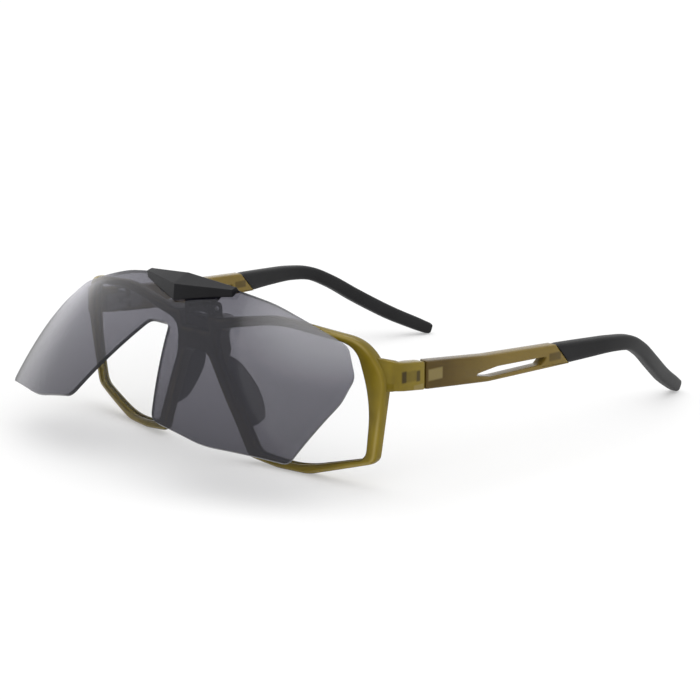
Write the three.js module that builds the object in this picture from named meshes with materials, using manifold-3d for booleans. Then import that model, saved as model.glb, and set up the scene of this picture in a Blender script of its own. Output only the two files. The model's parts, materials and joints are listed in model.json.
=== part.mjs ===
// Magnetic clip-on eyeglasses: a full-rim frame with folding temples, and a sun shield
// on a flip hinge whose mount is held in the bridge by magnets.
// Millimetres, +Z up. The lenses face -Y and +X is the wearer's left.
// The frame stands on the feet of its rims and on its temple tips, with the shield half raised.

import * as THREE from 'three';
import { TessellateModifier } from 'three/addons/modifiers/TessellateModifier.js';
import { mergeVertices } from 'three/addons/utils/BufferGeometryUtils.js';
import Module from 'manifold-3d';

const wasm = await Module();
wasm.setup();

// Clearances
const seatGap = 0.3; // between pieces that fit in, or rest on, each other
const runGap = 0.25; // around the hinge pins and in the hinge lines

// Lens box: the rectangle around one lens opening
const lensWidth = 54;
const lensHeight = 40.6;
const bridgeWidth = 17.2;
const footRim = 2.8; // height of the rim under the lens box
const noseX = bridgeWidth / 2;
const outerX = noseX + lensWidth;
const lowZ = footRim;
const highZ = lowZ + lensHeight;

// Corners of a lens opening, as distances from the corners of the lens box, with fillet radii
const opening = {
  noseTop: { x: -1.0, z: -4.9, r: 5 },
  crown: { x: 25.4, z: 0.6, r: 45 },
  outerTop: { x: -3.6, z: -2.4, r: 7 },
  outerSide: { x: 0, z: 22.2, r: 60 },
  outerFoot: { x: -2.4, z: 5.1, r: 4 },
  foot: { x: 29.4, z: -0.8, r: 40 },
  noseFoot: { x: 13.9, z: 0.6, r: 4 },
  noseSide: { x: 0.6, z: 26.2, r: 12 },
};

// Corners of the front's outer edge, measured from the same lens box
const rim = {
  bridgeTop: { x: 1.9, z: -1.0, r: 6 },
  crown: { x: 24.4, z: 3.0, r: 40 },
  outerTop: { x: -0.9, z: -0.5, r: 13 },
  outerSide: { x: 4.9, z: -10.9, r: 12 },
  outerFoot: { x: 0.3, z: 3.9, r: 4 },
  footOuter: { x: 32.4, r: 12 },
  footInner: { x: 21.4, r: 12 },
  noseFoot: { x: 10.6, z: -1.4, r: 3 },
  arch: { x: -3.7, z: -12.4, r: 4 },
};

// Front
const frontRadius = 200; // wrap of the front, seen from above
const frontLean = 0.07; // how far the top leans forward for each millimetre of height
const frontDepth = 3.5;
const frontBevel = 0.6;
const lensThickness = 1.6;
const grooveDepth = 0.8;

// Bridge: a thicker block with a recess in its top, where the clip sits on its magnets
const bridgeBack = 6.6;
const bridgeBlockSide = 3.8; // how far the block reaches past the lens box's nose side
const bridgeBlockHalf = noseX + bridgeBlockSide;
const bridgeBlockFoot = 12.2; // below the top of the lens box
const bridgeBlockFillet = 1.5;
const recessWall = 2.2; // between the recess and the lens box
const recessHalf = noseX - recessWall;
const recessDrop = 5.9; // below the top of the lens box
const recessFloor = highZ - recessDrop;
const magnetRadius = 1.5;
const magnetHeight = 1.9;
const magnetInset = 3.2; // from the side of the recess
const magnetX = recessHalf - magnetInset;
const magnetY = bridgeBack / 2;

// Nose pads, plugged into the back of the nose legs
const padFoot = 9.9; // above the floor
const padDrop = 13.4; // top of the pad below the top of the lens box
const padHeight = highZ - padDrop - padFoot;
const padBevel = 0.5;
const padStep = 1.4;
const padLayers = 10;
const padTaper = 0.62; // share of the section that is left at the pad's ends
const padTwist = 4.2; // how much further out the heel lies at the pad's foot than at its top
const padTwistLevel = 0.5; // share of the height at which the section is not twisted
const padSection = {
  root: { x: 0.8, y: 0, r: 0.6 },
  outerRoot: { x: 3.4, y: 0, r: 0.6 },
  outerHeel: { x: 5.6, y: 6.2, r: 1.6 },
  heel: { x: 1.2, y: 8.6, r: 1.6 },
};
const padTenon = { width: 1.2, depth: 1.8, height: 9, inset: 1.1 };

// Endpieces and temple hinges
const hingeLevel = 11.7; // middle of the hinge below the top of the lens box
const hingeZ = highZ - hingeLevel;
const hingeHeight = 8.2; // of endpiece and temple where they meet
const armThickness = 4;
const armOuter = 7.9; // outer face of the temple at the hinge, outside the lens box
const armOuterX = outerX + armOuter;
const armInnerX = armOuterX - armThickness;
const endSlope = 0.12; // fall of the endpiece towards the hinge
const endBevel = 0.5;
const endRoot = 1.2; // how far the endpiece starts inside the rim, outside the lens box
const rootX = outerX + endRoot;
const endDepth = 14.47; // from the rim's front at that place to the hinge line
const jointY = frontOffset(rootX, hingeZ) + endDepth; // hinge line between endpiece and temple
const endRootDepth = 3;
const endShoulder = 10.6; // length of the endpiece's outer flank
const endNose = { x: 2.3, y: 2.3 }; // cut of the endpiece's front corner
const endFillet = { inner: 2, root: 1, nose: 1, flank: 4 };
const barrelRadius = 1.4;
const hingeX = armInnerX - runGap;
const screwRadius = 0.6;
const screwHead = { radius: 1.1, height: 0.6 };
const knuckleHeight = 1.7;
const tongueHeight = 1.5;
const leafThickness = 0.8;
const leafLength = 4.6;
const leafSetback = 2.4; // where the leaf's full height starts, from the hinge axis
const leafPeg = { radius: 0.6, length: 2, spacing: 3 };

// Temples, as distances along Y behind the hinge line
const armLength = 56.7; // along the middle of the arm, to the sleeve
const armTop = { mid: 1.7, midAt: 25, rear: 0.2 }; // above the middle of the hinge
const armFoot = { mid: 6.2, midAt: 25, rear: 6.5 }; // below the middle of the hinge
const sleeveSlant = 3; // half of the slant of the line where the sleeve starts
const armBevel = 0.5;
const armFillet = { front: 0.4, middle: 40 };
const armSpread = 2.2; // how far the arm bows outwards at the sleeve
const slot = {
  front: { y: 18.6, z: -3.4, r: 0.6 },
  shoulder: { y: 29, z: -2.3, r: 12 },
  rearTop: { y: armLength - 6.6, z: -2.9, r: 1 },
  rearFoot: { y: armLength - 9.2, z: -5.0, r: 1 },
  belly: { y: 27, z: -5.0, r: 12 },
};

// Sleeve: stations behind the arm's end and outside it, with the share of the fall to the tip
const sleeveStartZ = hingeZ + (armTop.rear - armFoot.rear) / 2;
const tipZ = 1.28; // middle of the sleeve's tip above the floor
const sleeve = [
  { y: -0.7, x: 0, fall: 0, height: armTop.rear + armFoot.rear },
  { y: 11.3, x: 1.1, fall: 0.007, height: 5.8 },
  { y: 22.3, x: 1.7, fall: 0.02, height: 5.0 },
  { y: 31.3, x: 1.1, fall: 0.07, height: 4.7 },
  { y: 39.3, x: -0.7, fall: 0.205, height: 4.7 },
  { y: 49.3, x: -3.9, fall: 0.44, height: 4.9 },
  { y: 61.3, x: -8.5, fall: 0.705, height: 4.9 },
  { y: 71.3, x: -12.2, fall: 0.89, height: 4.6 },
  { y: 77.0, x: -14.4, fall: 1, height: 4.0 },
];
const sleeveProud = 0.3; // how far the sleeve stands out on each side of the arm
const sleeveThickness = armThickness + 2 * sleeveProud;
const sleeveSteps = 22;
const sleeveSides = 12;
const sleeveSquare = 0.62; // 1 is an ellipse, less is squarer
const sleeveEnd = [0.92, 0.72]; // share of the section at the last two rings
const core = { height: 1.8, thickness: 1.4, inArm: 5.2, inSleeve: 59.3, steps: 20 };

// Clip: mount, flip hinge and bracket
const flipY = 2.8; // flip axis behind the front of the bridge
const flipLevel = 0.4; // flip axis above the top of the lens box
const flipZ = highZ + flipLevel;
const flipAngle = THREE.MathUtils.degToRad(45.8); // the shield's lean at rest
const flipKnuckle = 1.9;
const pinRadius = 0.8;
const lugRadius = 2.1;
const lugWidth = 2;
const springThickness = 0.3;
const spring = { inset: 0.2, front: -1.7, back: 1.9 }; // from the knuckle's ends and the flip axis
const mountFront = seatGap;
const mountBack = bridgeBack - seatGap;
const mountFillet = 0.6;
const mountHalf = recessHalf - seatGap;
const mountFoot = recessFloor + seatGap;
const mountTop = flipZ - flipKnuckle - springThickness - 2 * seatGap;
const bracketHalf = 12.4;
const bracketThickness = 1.2;
const bracketTop = 3.4; // above the flip axis
const bracketFoot = 2.2; // below the flip axis
const bracketFillet = 1.2;
const bracketArmHalf = mountHalf - lugWidth - seatGap;
const bracketArmHeight = 3.2;

// Shield: a spherical sheet, with heights from the flip axis
const shieldRadius = 146.2;
const shieldThickness = 1.2;
const shieldStandoff = 6.78; // of the notch from the flip axis, on a sheet with the front's own wrap
const shieldMiddle = -20.1; // height of the sheet's middle
const shieldFoot = -lensHeight - 3.2; // as deep as the lens box and a little deeper
const shield = {
  topMiddle: { x: 0, z: 3.7, r: 0 },
  crown: { x: 24.4, z: 3.2, r: 60 },
  outerTop: { x: -3.5, z: -0.2, r: 5 },
  shoulder: { x: 2.9, z: -7.6, r: 6 },
  outerSide: { x: 3.8, z: -16.1, r: 15 },
  outerFoot: { x: 0, z: shieldFoot + 5.4, r: 2.8 },
  foot: { x: 29.4, z: shieldFoot, r: 30 },
  noseFoot: { x: 10.2, z: shieldFoot + 1.2, r: 4.5 },
  notch: { x: -4.1, z: -13.4, r: 3.2 },
};

// Cover on the front of the shield: half width, heights from the flip axis, rises off the sheet
// and the share of the rise that is left at its top
const cover = {
  half: 19.2,
  tip: -5.8,
  endFoot: 0.7,
  crestMiddle: -2.8,
  crestEnd: 1.9,
  top: 3.6,
  riseMiddle: 4.3,
  riseEnd: 2.1,
  riseTop: 0.7,
  edge: 0.3,
  columns: 12,
};
const shieldScrew = { x: 9, z: 1.1, radius: 0.6, headRadius: 1.1, headHeight: 0.6, bite: 0.9 };

// Mesh density
const outlineStep = 3;
const blockStep = 1.5;
const armStep = 2;
const sheetStep = 13;
const lensStep = 14;
const plateRounds = 9;
const pinSides = 12;
const holeSides = 16;
const mergeDistance = 1e-4;
const cutOver = 1; // how far a cutter runs past the face that it cuts

// Solids

function toSolid(geometry) {
  const bare = geometry.index ? geometry.toNonIndexed() : geometry.clone();
  for (const name of Object.keys(bare.attributes)) {
    if (name !== 'position') {
      bare.deleteAttribute(name);
    }
  }
  const merged = mergeVertices(bare, mergeDistance);
  const vertProperties = new Float32Array(merged.attributes.position.array);
  const triVerts = new Uint32Array(merged.index.array);
  return new wasm.Manifold(new wasm.Mesh({ numProp: 3, vertProperties, triVerts }));
}

function toGeometry(solid) {
  const { vertProperties, triVerts } = solid.getMesh();
  const geometry = new THREE.BufferGeometry();
  geometry.setAttribute('position', new THREE.BufferAttribute(vertProperties, 3));
  geometry.setIndex(new THREE.BufferAttribute(triVerts, 1));
  geometry.computeVertexNormals();
  return geometry;
}

function join(...geometries) {
  const solids = geometries.map(toSolid);
  return toGeometry(solids.reduce((whole, next) => whole.add(next)));
}

function cut(geometry, ...cutters) {
  return toGeometry(cutters.reduce((rest, cutter) => rest.subtract(toSolid(cutter)), toSolid(geometry)));
}

// The other side's copy of a piece, with its faces turned the right way again
function mirrored(geometry) {
  const copy = geometry.index ? geometry.clone() : mergeVertices(geometry.clone());
  copy.scale(-1, 1, 1);
  const order = copy.index.array;
  for (let i = 0; i < order.length; i += 3) {
    [order[i], order[i + 1]] = [order[i + 1], order[i]];
  }
  copy.computeVertexNormals();
  return copy;
}

// Moves each vertex by a rule on its own place
function warped(geometry, rule) {
  const place = new THREE.Vector3();
  const positions = geometry.attributes.position;
  for (let i = 0; i < positions.count; i += 1) {
    place.fromBufferAttribute(positions, i);
    rule(place);
    positions.setXYZ(i, place.x, place.y, place.z);
  }
  return geometry;
}

// How far a round surface falls back at a distance from its middle
function fallBack(radius, distance) {
  return radius - Math.sqrt(radius ** 2 - distance ** 2);
}

// Outlines and plates

function corner(x, y, r) {
  return { x, y, r };
}

function mirroredCorners(corners) {
  return corners.map(({ x, y, r }) => corner(-x, y, r)).reverse();
}

// Closed anticlockwise outline with a fillet at each corner, as evenly spaced points
function roundedOutline(corners, step = outlineStep) {
  const path = new THREE.Path();
  corners.forEach(({ x, y, r }, i) => {
    const here = new THREE.Vector2(x, y);
    const before = corners.at(i - 1);
    const after = corners[(i + 1) % corners.length];
    const back = new THREE.Vector2(before.x - x, before.y - y);
    const ahead = new THREE.Vector2(after.x - x, after.y - y);
    const half = Math.abs(back.angleTo(ahead)) / 2;
    const reach = Math.min(r / Math.tan(half), back.length() / 2, ahead.length() / 2);
    const start = back.setLength(reach).add(here);
    const end = ahead.setLength(reach).add(here);
    if (i === 0) {
      path.moveTo(start.x, start.y);
    } else {
      path.lineTo(start.x, start.y);
    }
    path.quadraticCurveTo(x, y, end.x, end.y);
  });
  path.closePath();
  const count = Math.ceil(path.getLength() / step);
  const points = path.getSpacedPoints(count).slice(0, count);
  return THREE.ShapeUtils.isClockWise(points) ? points.reverse() : points;
}

// The same outline, moved outwards along its normals
function grown(points, distance) {
  return points.map((point, i) => {
    const before = points.at(i - 1);
    const after = points[(i + 1) % points.length];
    const normal = new THREE.Vector2(after.y - before.y, before.x - after.x).normalize();
    return normal.multiplyScalar(distance).add(point);
  });
}

// Solid of a depth on an outline in X and Y, with its edges cut at an angle by a bevel
function extruded(shape, depth, bevel, layers = 1) {
  const geometry = new THREE.ExtrudeGeometry(shape, {
    depth: depth - 2 * bevel,
    steps: layers,
    bevelEnabled: bevel > 0,
    bevelThickness: bevel,
    bevelSize: bevel,
    bevelOffset: -bevel,
    bevelSegments: 1,
  });
  return geometry.translate(0, 0, bevel);
}

// Upright plate: an outline in X and Z, from y = front to y = front + depth
function plate(points, front, depth, bevel = 0, holes = []) {
  const shape = new THREE.Shape(points);
  shape.holes = holes.map((hole) => new THREE.Path(hole));
  return extruded(shape, depth, bevel).rotateX(Math.PI / 2).translate(0, front + depth, 0);
}

// Splits long edges, so that a plate can follow a curved surface
function fine(geometry, step) {
  return new TessellateModifier(step, plateRounds).modify(geometry);
}

// Solid standing on an outline in X and Y
function post(points, foot, height, bevel = 0, layers = 1) {
  return extruded(new THREE.Shape(points), height, bevel, layers).translate(0, 0, foot);
}

// Box between two corners
function block(low, high) {
  const size = new THREE.Vector3().subVectors(high, low);
  const middle = new THREE.Vector3().addVectors(low, high).multiplyScalar(1 / 2);
  return new THREE.BoxGeometry(size.x, size.y, size.z).translate(middle.x, middle.y, middle.z);
}

function vector(x, y, z) {
  return new THREE.Vector3(x, y, z);
}

// Rods along each axis, from start to end
function rodX(radius, start, end, y, z, sides = pinSides) {
  const geometry = new THREE.CylinderGeometry(radius, radius, end - start, sides);
  return geometry.rotateZ(Math.PI / 2).translate((start + end) / 2, y, z);
}

function rodY(radius, start, end, x, z, sides = pinSides) {
  return new THREE.CylinderGeometry(radius, radius, end - start, sides).translate(x, (start + end) / 2, z);
}

function rodZ(radius, start, end, x, y, sides = pinSides) {
  const geometry = new THREE.CylinderGeometry(radius, radius, end - start, sides);
  return geometry.rotateX(Math.PI / 2).translate(x, y, (start + end) / 2);
}

// Closed skin over a row of rings with equal numbers of points, with flat ends
function loft(rings) {
  const count = rings[0].length;
  const last = (rings.length - 1) * count;
  const index = [];
  for (let ring = 0; ring < last; ring += count) {
    for (let i = 0; i < count; i += 1) {
      const next = (i + 1) % count;
      index.push(ring + i, ring + next, ring + count + next);
      index.push(ring + i, ring + count + next, ring + count + i);
    }
  }
  for (let i = 1; i < count - 1; i += 1) {
    index.push(0, i + 1, i);
    index.push(last, last + i, last + i + 1);
  }
  const geometry = new THREE.BufferGeometry();
  geometry.setFromPoints(rings.flat());
  geometry.setIndex(index);
  return geometry;
}

// Front

// Bends a flat front onto the wrapped and leaning surface of the real one
function frontOffset(x, z) {
  return fallBack(frontRadius, x) - frontLean * (z - (lowZ + highZ) / 2);
}

function onFront(geometry) {
  return warped(geometry, (place) => {
    place.y += frontOffset(place.x, place.z);
  });
}

const openingCorners = [
  corner(noseX + opening.noseTop.x, highZ + opening.noseTop.z, opening.noseTop.r),
  corner(noseX + opening.crown.x, highZ + opening.crown.z, opening.crown.r),
  corner(outerX + opening.outerTop.x, highZ + opening.outerTop.z, opening.outerTop.r),
  corner(outerX + opening.outerSide.x, lowZ + opening.outerSide.z, opening.outerSide.r),
  corner(outerX + opening.outerFoot.x, lowZ + opening.outerFoot.z, opening.outerFoot.r),
  corner(noseX + opening.foot.x, lowZ + opening.foot.z, opening.foot.r),
  corner(noseX + opening.noseFoot.x, lowZ + opening.noseFoot.z, opening.noseFoot.r),
  corner(noseX + opening.noseSide.x, lowZ + opening.noseSide.z, opening.noseSide.r),
];

const rimCorners = [
  corner(noseX + rim.bridgeTop.x, highZ + rim.bridgeTop.z, rim.bridgeTop.r),
  corner(noseX + rim.crown.x, highZ + rim.crown.z, rim.crown.r),
  corner(outerX + rim.outerTop.x, highZ + rim.outerTop.z, rim.outerTop.r),
  corner(outerX + rim.outerSide.x, highZ + rim.outerSide.z, rim.outerSide.r),
  corner(outerX + rim.outerFoot.x, lowZ + rim.outerFoot.z, rim.outerFoot.r),
  corner(noseX + rim.footOuter.x, 0, rim.footOuter.r),
  corner(noseX + rim.footInner.x, 0, rim.footInner.r),
  corner(noseX + rim.noseFoot.x, lowZ + rim.noseFoot.z, rim.noseFoot.r),
  corner(noseX + rim.arch.x, highZ + rim.arch.z, rim.arch.r),
];

const openingOutline = roundedOutline(openingCorners);
const frontOutline = roundedOutline([...rimCorners, ...mirroredCorners(rimCorners)]);

function mirroredPoints(points) {
  return points.map(({ x, y }) => new THREE.Vector2(-x, y)).reverse();
}

// The nose edge of a leg, as a distance from the middle, at a height
function legEdge(z) {
  const [foot, arch] = rimCorners.slice(-2);
  return foot.x + ((arch.x - foot.x) * (z - foot.y)) / (arch.y - foot.y);
}

// Places a flat piece on the back of a nose leg, leaning with it
function onLeg(geometry) {
  return warped(geometry, (place) => {
    place.x += legEdge(place.z);
    place.y += frontDepth + frontOffset(place.x, place.z);
  });
}

function padTenonBlock(gap) {
  const { width, depth, height, inset } = padTenon;
  const middle = padFoot + padHeight / 2;
  const low = vector(inset - gap, -depth - gap, middle - height / 2 - gap);
  const high = vector(inset + width + gap, seatGap + padBevel, middle + height / 2 + gap);
  return onLeg(block(low, high));
}

function nosePad() {
  const { root, outerRoot, outerHeel, heel } = padSection;
  const corners = [root, outerRoot, outerHeel, heel].map(({ x, y, r }) => corner(x, y + seatGap, r));
  const straight = post(roundedOutline(corners, padStep), padFoot, padHeight, padBevel, padLayers);
  const body = warped(straight, (place) => {
    const climb = (place.z - padFoot) / padHeight;
    const share = THREE.MathUtils.lerp(padTaper, 1, Math.sin(Math.PI * climb));
    const turn = padTwist * (padTwistLevel - climb);
    const reach = ((place.y - seatGap) / heel.y) * share;
    place.x = root.x + (place.x - root.x) * share + turn * reach;
    place.y = seatGap + (place.y - seatGap) * share;
  });
  return join(onLeg(body), padTenonBlock(0));
}

function lens() {
  const front = (frontDepth - lensThickness) / 2;
  const outline = grown(openingOutline, grooveDepth);
  return toGeometry(toSolid(onFront(fine(plate(outline, front, lensThickness), lensStep))));
}

function lensGroove() {
  const front = (frontDepth - lensThickness) / 2 - seatGap;
  const outline = grown(openingOutline, grooveDepth + seatGap);
  return onFront(fine(plate(outline, front, lensThickness + 2 * seatGap), lensStep));
}

// Endpiece: from inside the rim round to the flat that meets the temple
function endpiece() {
  const rearY = jointY - runGap;
  const rootY = frontOffset(rootX, hingeZ) + frontBevel;
  const flankY = rearY - endShoulder;
  const outline = roundedOutline(
    [
      corner(armInnerX, rearY, 0),
      corner(armInnerX, rootY + endRootDepth + frontDepth, endFillet.inner),
      corner(rootX, rootY + endRootDepth, endFillet.root),
      corner(rootX, rootY, 0),
      corner(armOuterX - endNose.x, flankY - endNose.y, endFillet.nose),
      corner(armOuterX, flankY, endFillet.flank),
      corner(armOuterX, rearY, 0),
    ],
    blockStep,
  );
  const body = post(outline, hingeZ - hingeHeight / 2, hingeHeight, endBevel);
  return warped(body, (place) => {
    place.z += endSlope * (rearY - place.y);
  });
}

// Room for the hinge barrel in the inner corner of endpiece and arm
function barrelRoom() {
  const height = hingeHeight + 2 * cutOver;
  return rodZ(barrelRadius + seatGap, hingeZ - height, hingeZ + height, hingeX, jointY, holeSides);
}

function magnetPlaces() {
  return [-magnetX, magnetX];
}

function frontBlank() {
  const holes = [openingOutline, mirroredPoints(openingOutline)];
  const rims = onFront(plate(frontOutline, 0, frontDepth, frontBevel, holes));
  const foot = highZ - bridgeBlockFoot;
  const bridgeBlock = plate(
    roundedOutline(
      [
        corner(-bridgeBlockHalf, foot + bridgeBlockHalf / 2, bridgeBlockFillet),
        corner(-bridgeBlockHalf / 2, foot, bridgeBlockFillet),
        corner(bridgeBlockHalf / 2, foot, bridgeBlockFillet),
        corner(bridgeBlockHalf, foot + bridgeBlockHalf / 2, bridgeBlockFillet),
        corner(bridgeBlockHalf, highZ - 2 * frontBevel, bridgeBlockFillet),
        corner(-bridgeBlockHalf, highZ - 2 * frontBevel, bridgeBlockFillet),
      ],
      blockStep,
    ),
    frontBevel,
    bridgeBack - frontBevel,
    frontBevel,
  );
  return join(rims, bridgeBlock, endpiece(), mirrored(endpiece()));
}

function frameFront() {
  const recess = block(
    vector(-recessHalf, -frontDepth, recessFloor),
    vector(recessHalf, bridgeBack + cutOver, highZ + cutOver),
  );
  const pocketFoot = recessFloor - magnetHeight - 2 * seatGap;
  const pockets = magnetPlaces().map((x) =>
    rodZ(magnetRadius + seatGap, pocketFoot, recessFloor + cutOver, x, magnetY, holeSides));
  const oneSide = [lensGroove(), padTenonBlock(seatGap), barrelRoom(), ...frontPegs(seatGap)];
  return cut(frontBlank(), recess, ...pockets, ...oneSide, ...oneSide.map(mirrored));
}

function bridgeMagnet(x) {
  const top = recessFloor - seatGap;
  return rodZ(magnetRadius, top - magnetHeight, top, x, magnetY, holeSides);
}

// Temple hinges, drawn on the wearer's left

const leafInner = hingeX - barrelRadius;
const barrelHalf = tongueHeight / 2 + runGap + knuckleHeight;

// A leaf lies against the inner face: its plate, the necks to its knuckles and the pegs that hold it
function hingeLeaf(ahead, levels, pegs) {
  const reach = (distance) => jointY + ahead * distance;
  const sorted = (a, b) => [Math.min(a, b), Math.max(a, b)];
  const [plateLow, plateHigh] = sorted(reach(leafSetback), reach(leafSetback + leafLength));
  const body = block(
    vector(leafInner, plateLow, hingeZ - barrelHalf),
    vector(leafInner + leafThickness, plateHigh, hingeZ + barrelHalf),
  );
  const [neckLow, neckHigh] = sorted(reach(0), reach(leafSetback + leafThickness));
  const necks = levels.map(([low, high]) =>
    block(vector(leafInner, neckLow, low), vector(leafInner + leafThickness, neckHigh, high)));
  const barrels = levels.map(([low, high]) =>
    rodZ(barrelRadius, low, high, hingeX, jointY, holeSides));
  const bores = levels.map(([low, high]) =>
    rodZ(screwRadius + runGap, low - cutOver, high + cutOver, hingeX, jointY, holeSides));
  return cut(join(body, ...necks, ...barrels, ...pegs), ...bores);
}

function leafPegs(ahead, gap) {
  const { radius, length, spacing } = leafPeg;
  const first = jointY + ahead * (leafSetback + leafLength / 2 - spacing / 2);
  return [0, 1].map((i) => {
    const start = leafInner + leafThickness / 2;
    const end = armInnerX + length + gap;
    return rodX(radius + gap, start, end, first + ahead * spacing * i, hingeZ);
  });
}

function frontPegs(gap) {
  return leafPegs(-1, gap);
}

function templePegs(gap) {
  return leafPegs(1, gap);
}

function frontHingeLeaf() {
  const gap = tongueHeight / 2 + runGap;
  const levels = [
    [hingeZ - gap - knuckleHeight, hingeZ - gap],
    [hingeZ + gap, hingeZ + gap + knuckleHeight],
  ];
  return hingeLeaf(-1, levels, frontPegs(0));
}

function templeHingeLeaf() {
  return hingeLeaf(1, [[hingeZ - tongueHeight / 2, hingeZ + tongueHeight / 2]], templePegs(0));
}

function hingeScrew() {
  const top = hingeZ + barrelHalf + runGap;
  const shank = rodZ(screwRadius, hingeZ - barrelHalf, top + screwHead.height / 2, hingeX, jointY);
  const head = rodZ(screwHead.radius, top, top + screwHead.height, hingeX, jointY, holeSides);
  return join(shank, head);
}

// Temples, drawn on the wearer's left

const armMiddleX = (armInnerX + armOuterX) / 2;
const sleeveLine = new THREE.CatmullRomCurve3(
  sleeve.map(({ x, y, fall }) => {
    const z = THREE.MathUtils.lerp(sleeveStartZ, tipZ, fall);
    return vector(armMiddleX + armSpread + x, jointY + armLength + y, z);
  }),
);

// The section's height at a share of the way along the sleeve
function sleeveHeight(share) {
  const place = share * (sleeve.length - 1);
  const i = Math.min(Math.floor(place), sleeve.length - 2);
  return THREE.MathUtils.lerp(sleeve[i].height, sleeve[i + 1].height, place - i);
}

// Ring of points round the sleeve's middle line, in the plane of X and the line's own upright
function sleeveRing(share, thickness, height, sides, square) {
  const middle = sleeveLine.getPoint(share);
  const ahead = sleeveLine.getTangent(share);
  const up = vector(0, -ahead.z, ahead.y).normalize();
  return Array.from({ length: sides }, (_, i) => {
    const angle = (2 * Math.PI * (i + 1 / 2)) / sides;
    const bulge = (value) => Math.sign(value) * Math.abs(value) ** square;
    const across = vector((bulge(Math.cos(angle)) * thickness) / 2, 0, 0);
    const rise = up.clone().multiplyScalar((bulge(Math.sin(angle)) * height) / 2);
    return middle.clone().add(across).add(rise);
  }).reverse();
}

// Share of the way along the sleeve's line at a distance behind the arm's end
function shareAt(distance) {
  let low = 0;
  let high = 1;
  while (high - low > mergeDistance) {
    const middle = (low + high) / 2;
    if (sleeveLine.getPoint(middle).y < jointY + armLength + distance) {
      low = middle;
    } else {
      high = middle;
    }
  }
  return low;
}

// Slanted cutter that takes away all in front of the sleeve's starting line
function sleeveStartCutter() {
  const depth = 2 * (2 * sleeveSlant + cutOver);
  const wide = sleeveThickness + 2 * cutOver;
  const tall = 2 * sleeve[0].height;
  const box = new THREE.BoxGeometry(wide, depth, tall).translate(0, -depth / 2 + seatGap / 2, 0);
  return warped(box, (place) => {
    place.y -= (2 * sleeveSlant * place.z) / sleeve[0].height;
  }).translate(armMiddleX + armSpread, jointY + armLength, sleeveStartZ);
}

// The steel core's own skin, or the wider room for it
function coreStrip(gap) {
  const rear = shareAt(core.inSleeve + gap);
  const rings = Array.from({ length: core.steps + 1 }, (_, i) => {
    const share = (rear * i) / core.steps;
    const middle = sleeveLine.getPoint(share);
    const ahead = sleeveLine.getTangent(share);
    const up = vector(0, -ahead.z, ahead.y).normalize();
    const side = core.thickness / 2 + gap;
    const rise = up.multiplyScalar(core.height / 2 + gap);
    return [[-1, -1], [-1, 1], [1, 1], [1, -1]].map(([across, high]) =>
      middle.clone().add(vector(across * side, 0, 0)).addScaledVector(rise, high));
  });
  const lead = vector(0, -core.inArm - gap - sleeve[0].y, 0);
  const front = rings[0].map((point) => point.clone().add(lead));
  return loft([front, ...rings]);
}

function templeTip() {
  const rings = Array.from({ length: sleeveSteps + 1 }, (_, i) => {
    const share = i / sleeveSteps;
    const fromEnd = sleeveSteps - i;
    const shrink = fromEnd < sleeveEnd.length ? sleeveEnd.at(-1 - fromEnd) : 1;
    const height = sleeveHeight(share) * shrink;
    return sleeveRing(share, sleeveThickness * shrink, height, sleeveSides, sleeveSquare);
  });
  const lead = vector(0, -2 * sleeveSlant - seatGap, 0);
  const front = rings[0].map((point) => point.clone().add(lead));
  return cut(loft([front, ...rings]), sleeveStartCutter(), coreStrip(seatGap));
}

function templeCore() {
  return toGeometry(toSolid(coreStrip(0)));
}

// Bow of the arm, from nothing at the hinge to its spread at the sleeve
function armBow(y) {
  const share = Math.max(y - jointY, 0) / armLength;
  return armSpread * share;
}

function templeArm() {
  const front = jointY + runGap;
  const rear = jointY + armLength - seatGap / 2;
  const place = ({ y, z, r }) => corner(jointY + y, hingeZ + z, r);
  const outline = roundedOutline([
    corner(front, hingeZ - hingeHeight / 2, armFillet.front),
    corner(jointY + armFoot.midAt, hingeZ - armFoot.mid, armFillet.middle),
    corner(rear + sleeveSlant, hingeZ - armFoot.rear, 0),
    corner(rear - sleeveSlant, hingeZ + armTop.rear, 0),
    corner(jointY + armTop.midAt, hingeZ + armTop.mid, armFillet.middle),
    corner(front, hingeZ + hingeHeight / 2, armFillet.front),
  ], armStep);
  const { shoulder, rearTop, rearFoot, belly } = slot;
  const hole = roundedOutline([slot.front, belly, rearFoot, rearTop, shoulder].map(place), blockStep);
  const flat = plate(outline, 0, armThickness, armBevel, [hole]);
  const body = warped(flat, (point) => {
    const across = point.y;
    point.y = point.x;
    point.x = armOuterX - across + armBow(point.y);
  });
  return cut(body, barrelRoom(), coreStrip(seatGap), ...templePegs(seatGap));
}

// Clip mount and flip hinge

function clipMount() {
  const base = post(
    roundedOutline(
      [
        corner(-mountHalf, mountFront, mountFillet),
        corner(mountHalf, mountFront, mountFillet),
        corner(mountHalf, mountBack, mountFillet),
        corner(-mountHalf, mountBack, mountFillet),
      ],
      blockStep,
    ),
    mountFoot,
    mountTop - mountFoot,
  );
  const inner = mountHalf - lugWidth;
  const lugs = [-mountHalf, inner].map((start) =>
    join(
      rodX(lugRadius, start, start + lugWidth, flipY, flipZ, holeSides),
      block(
        vector(start, flipY - lugRadius, mountTop - seatGap),
        vector(start + lugWidth, flipY + lugRadius, flipZ),
      ),
    ));
  const bore = rodX(pinRadius + runGap, -mountHalf - cutOver, mountHalf + cutOver, flipY, flipZ, holeSides);
  const pockets = magnetPlaces().map((x) =>
    rodZ(
      magnetRadius + seatGap,
      mountFoot - cutOver,
      mountFoot + magnetHeight + 2 * seatGap,
      x,
      magnetY,
      holeSides,
    ));
  return cut(join(base, ...lugs), bore, ...pockets);
}

function clipMagnet(x) {
  return rodZ(magnetRadius, mountFoot + seatGap, mountFoot + seatGap + magnetHeight, x, magnetY, holeSides);
}

function flipPin() {
  return rodX(pinRadius, -mountHalf, mountHalf, flipY, flipZ);
}

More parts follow.
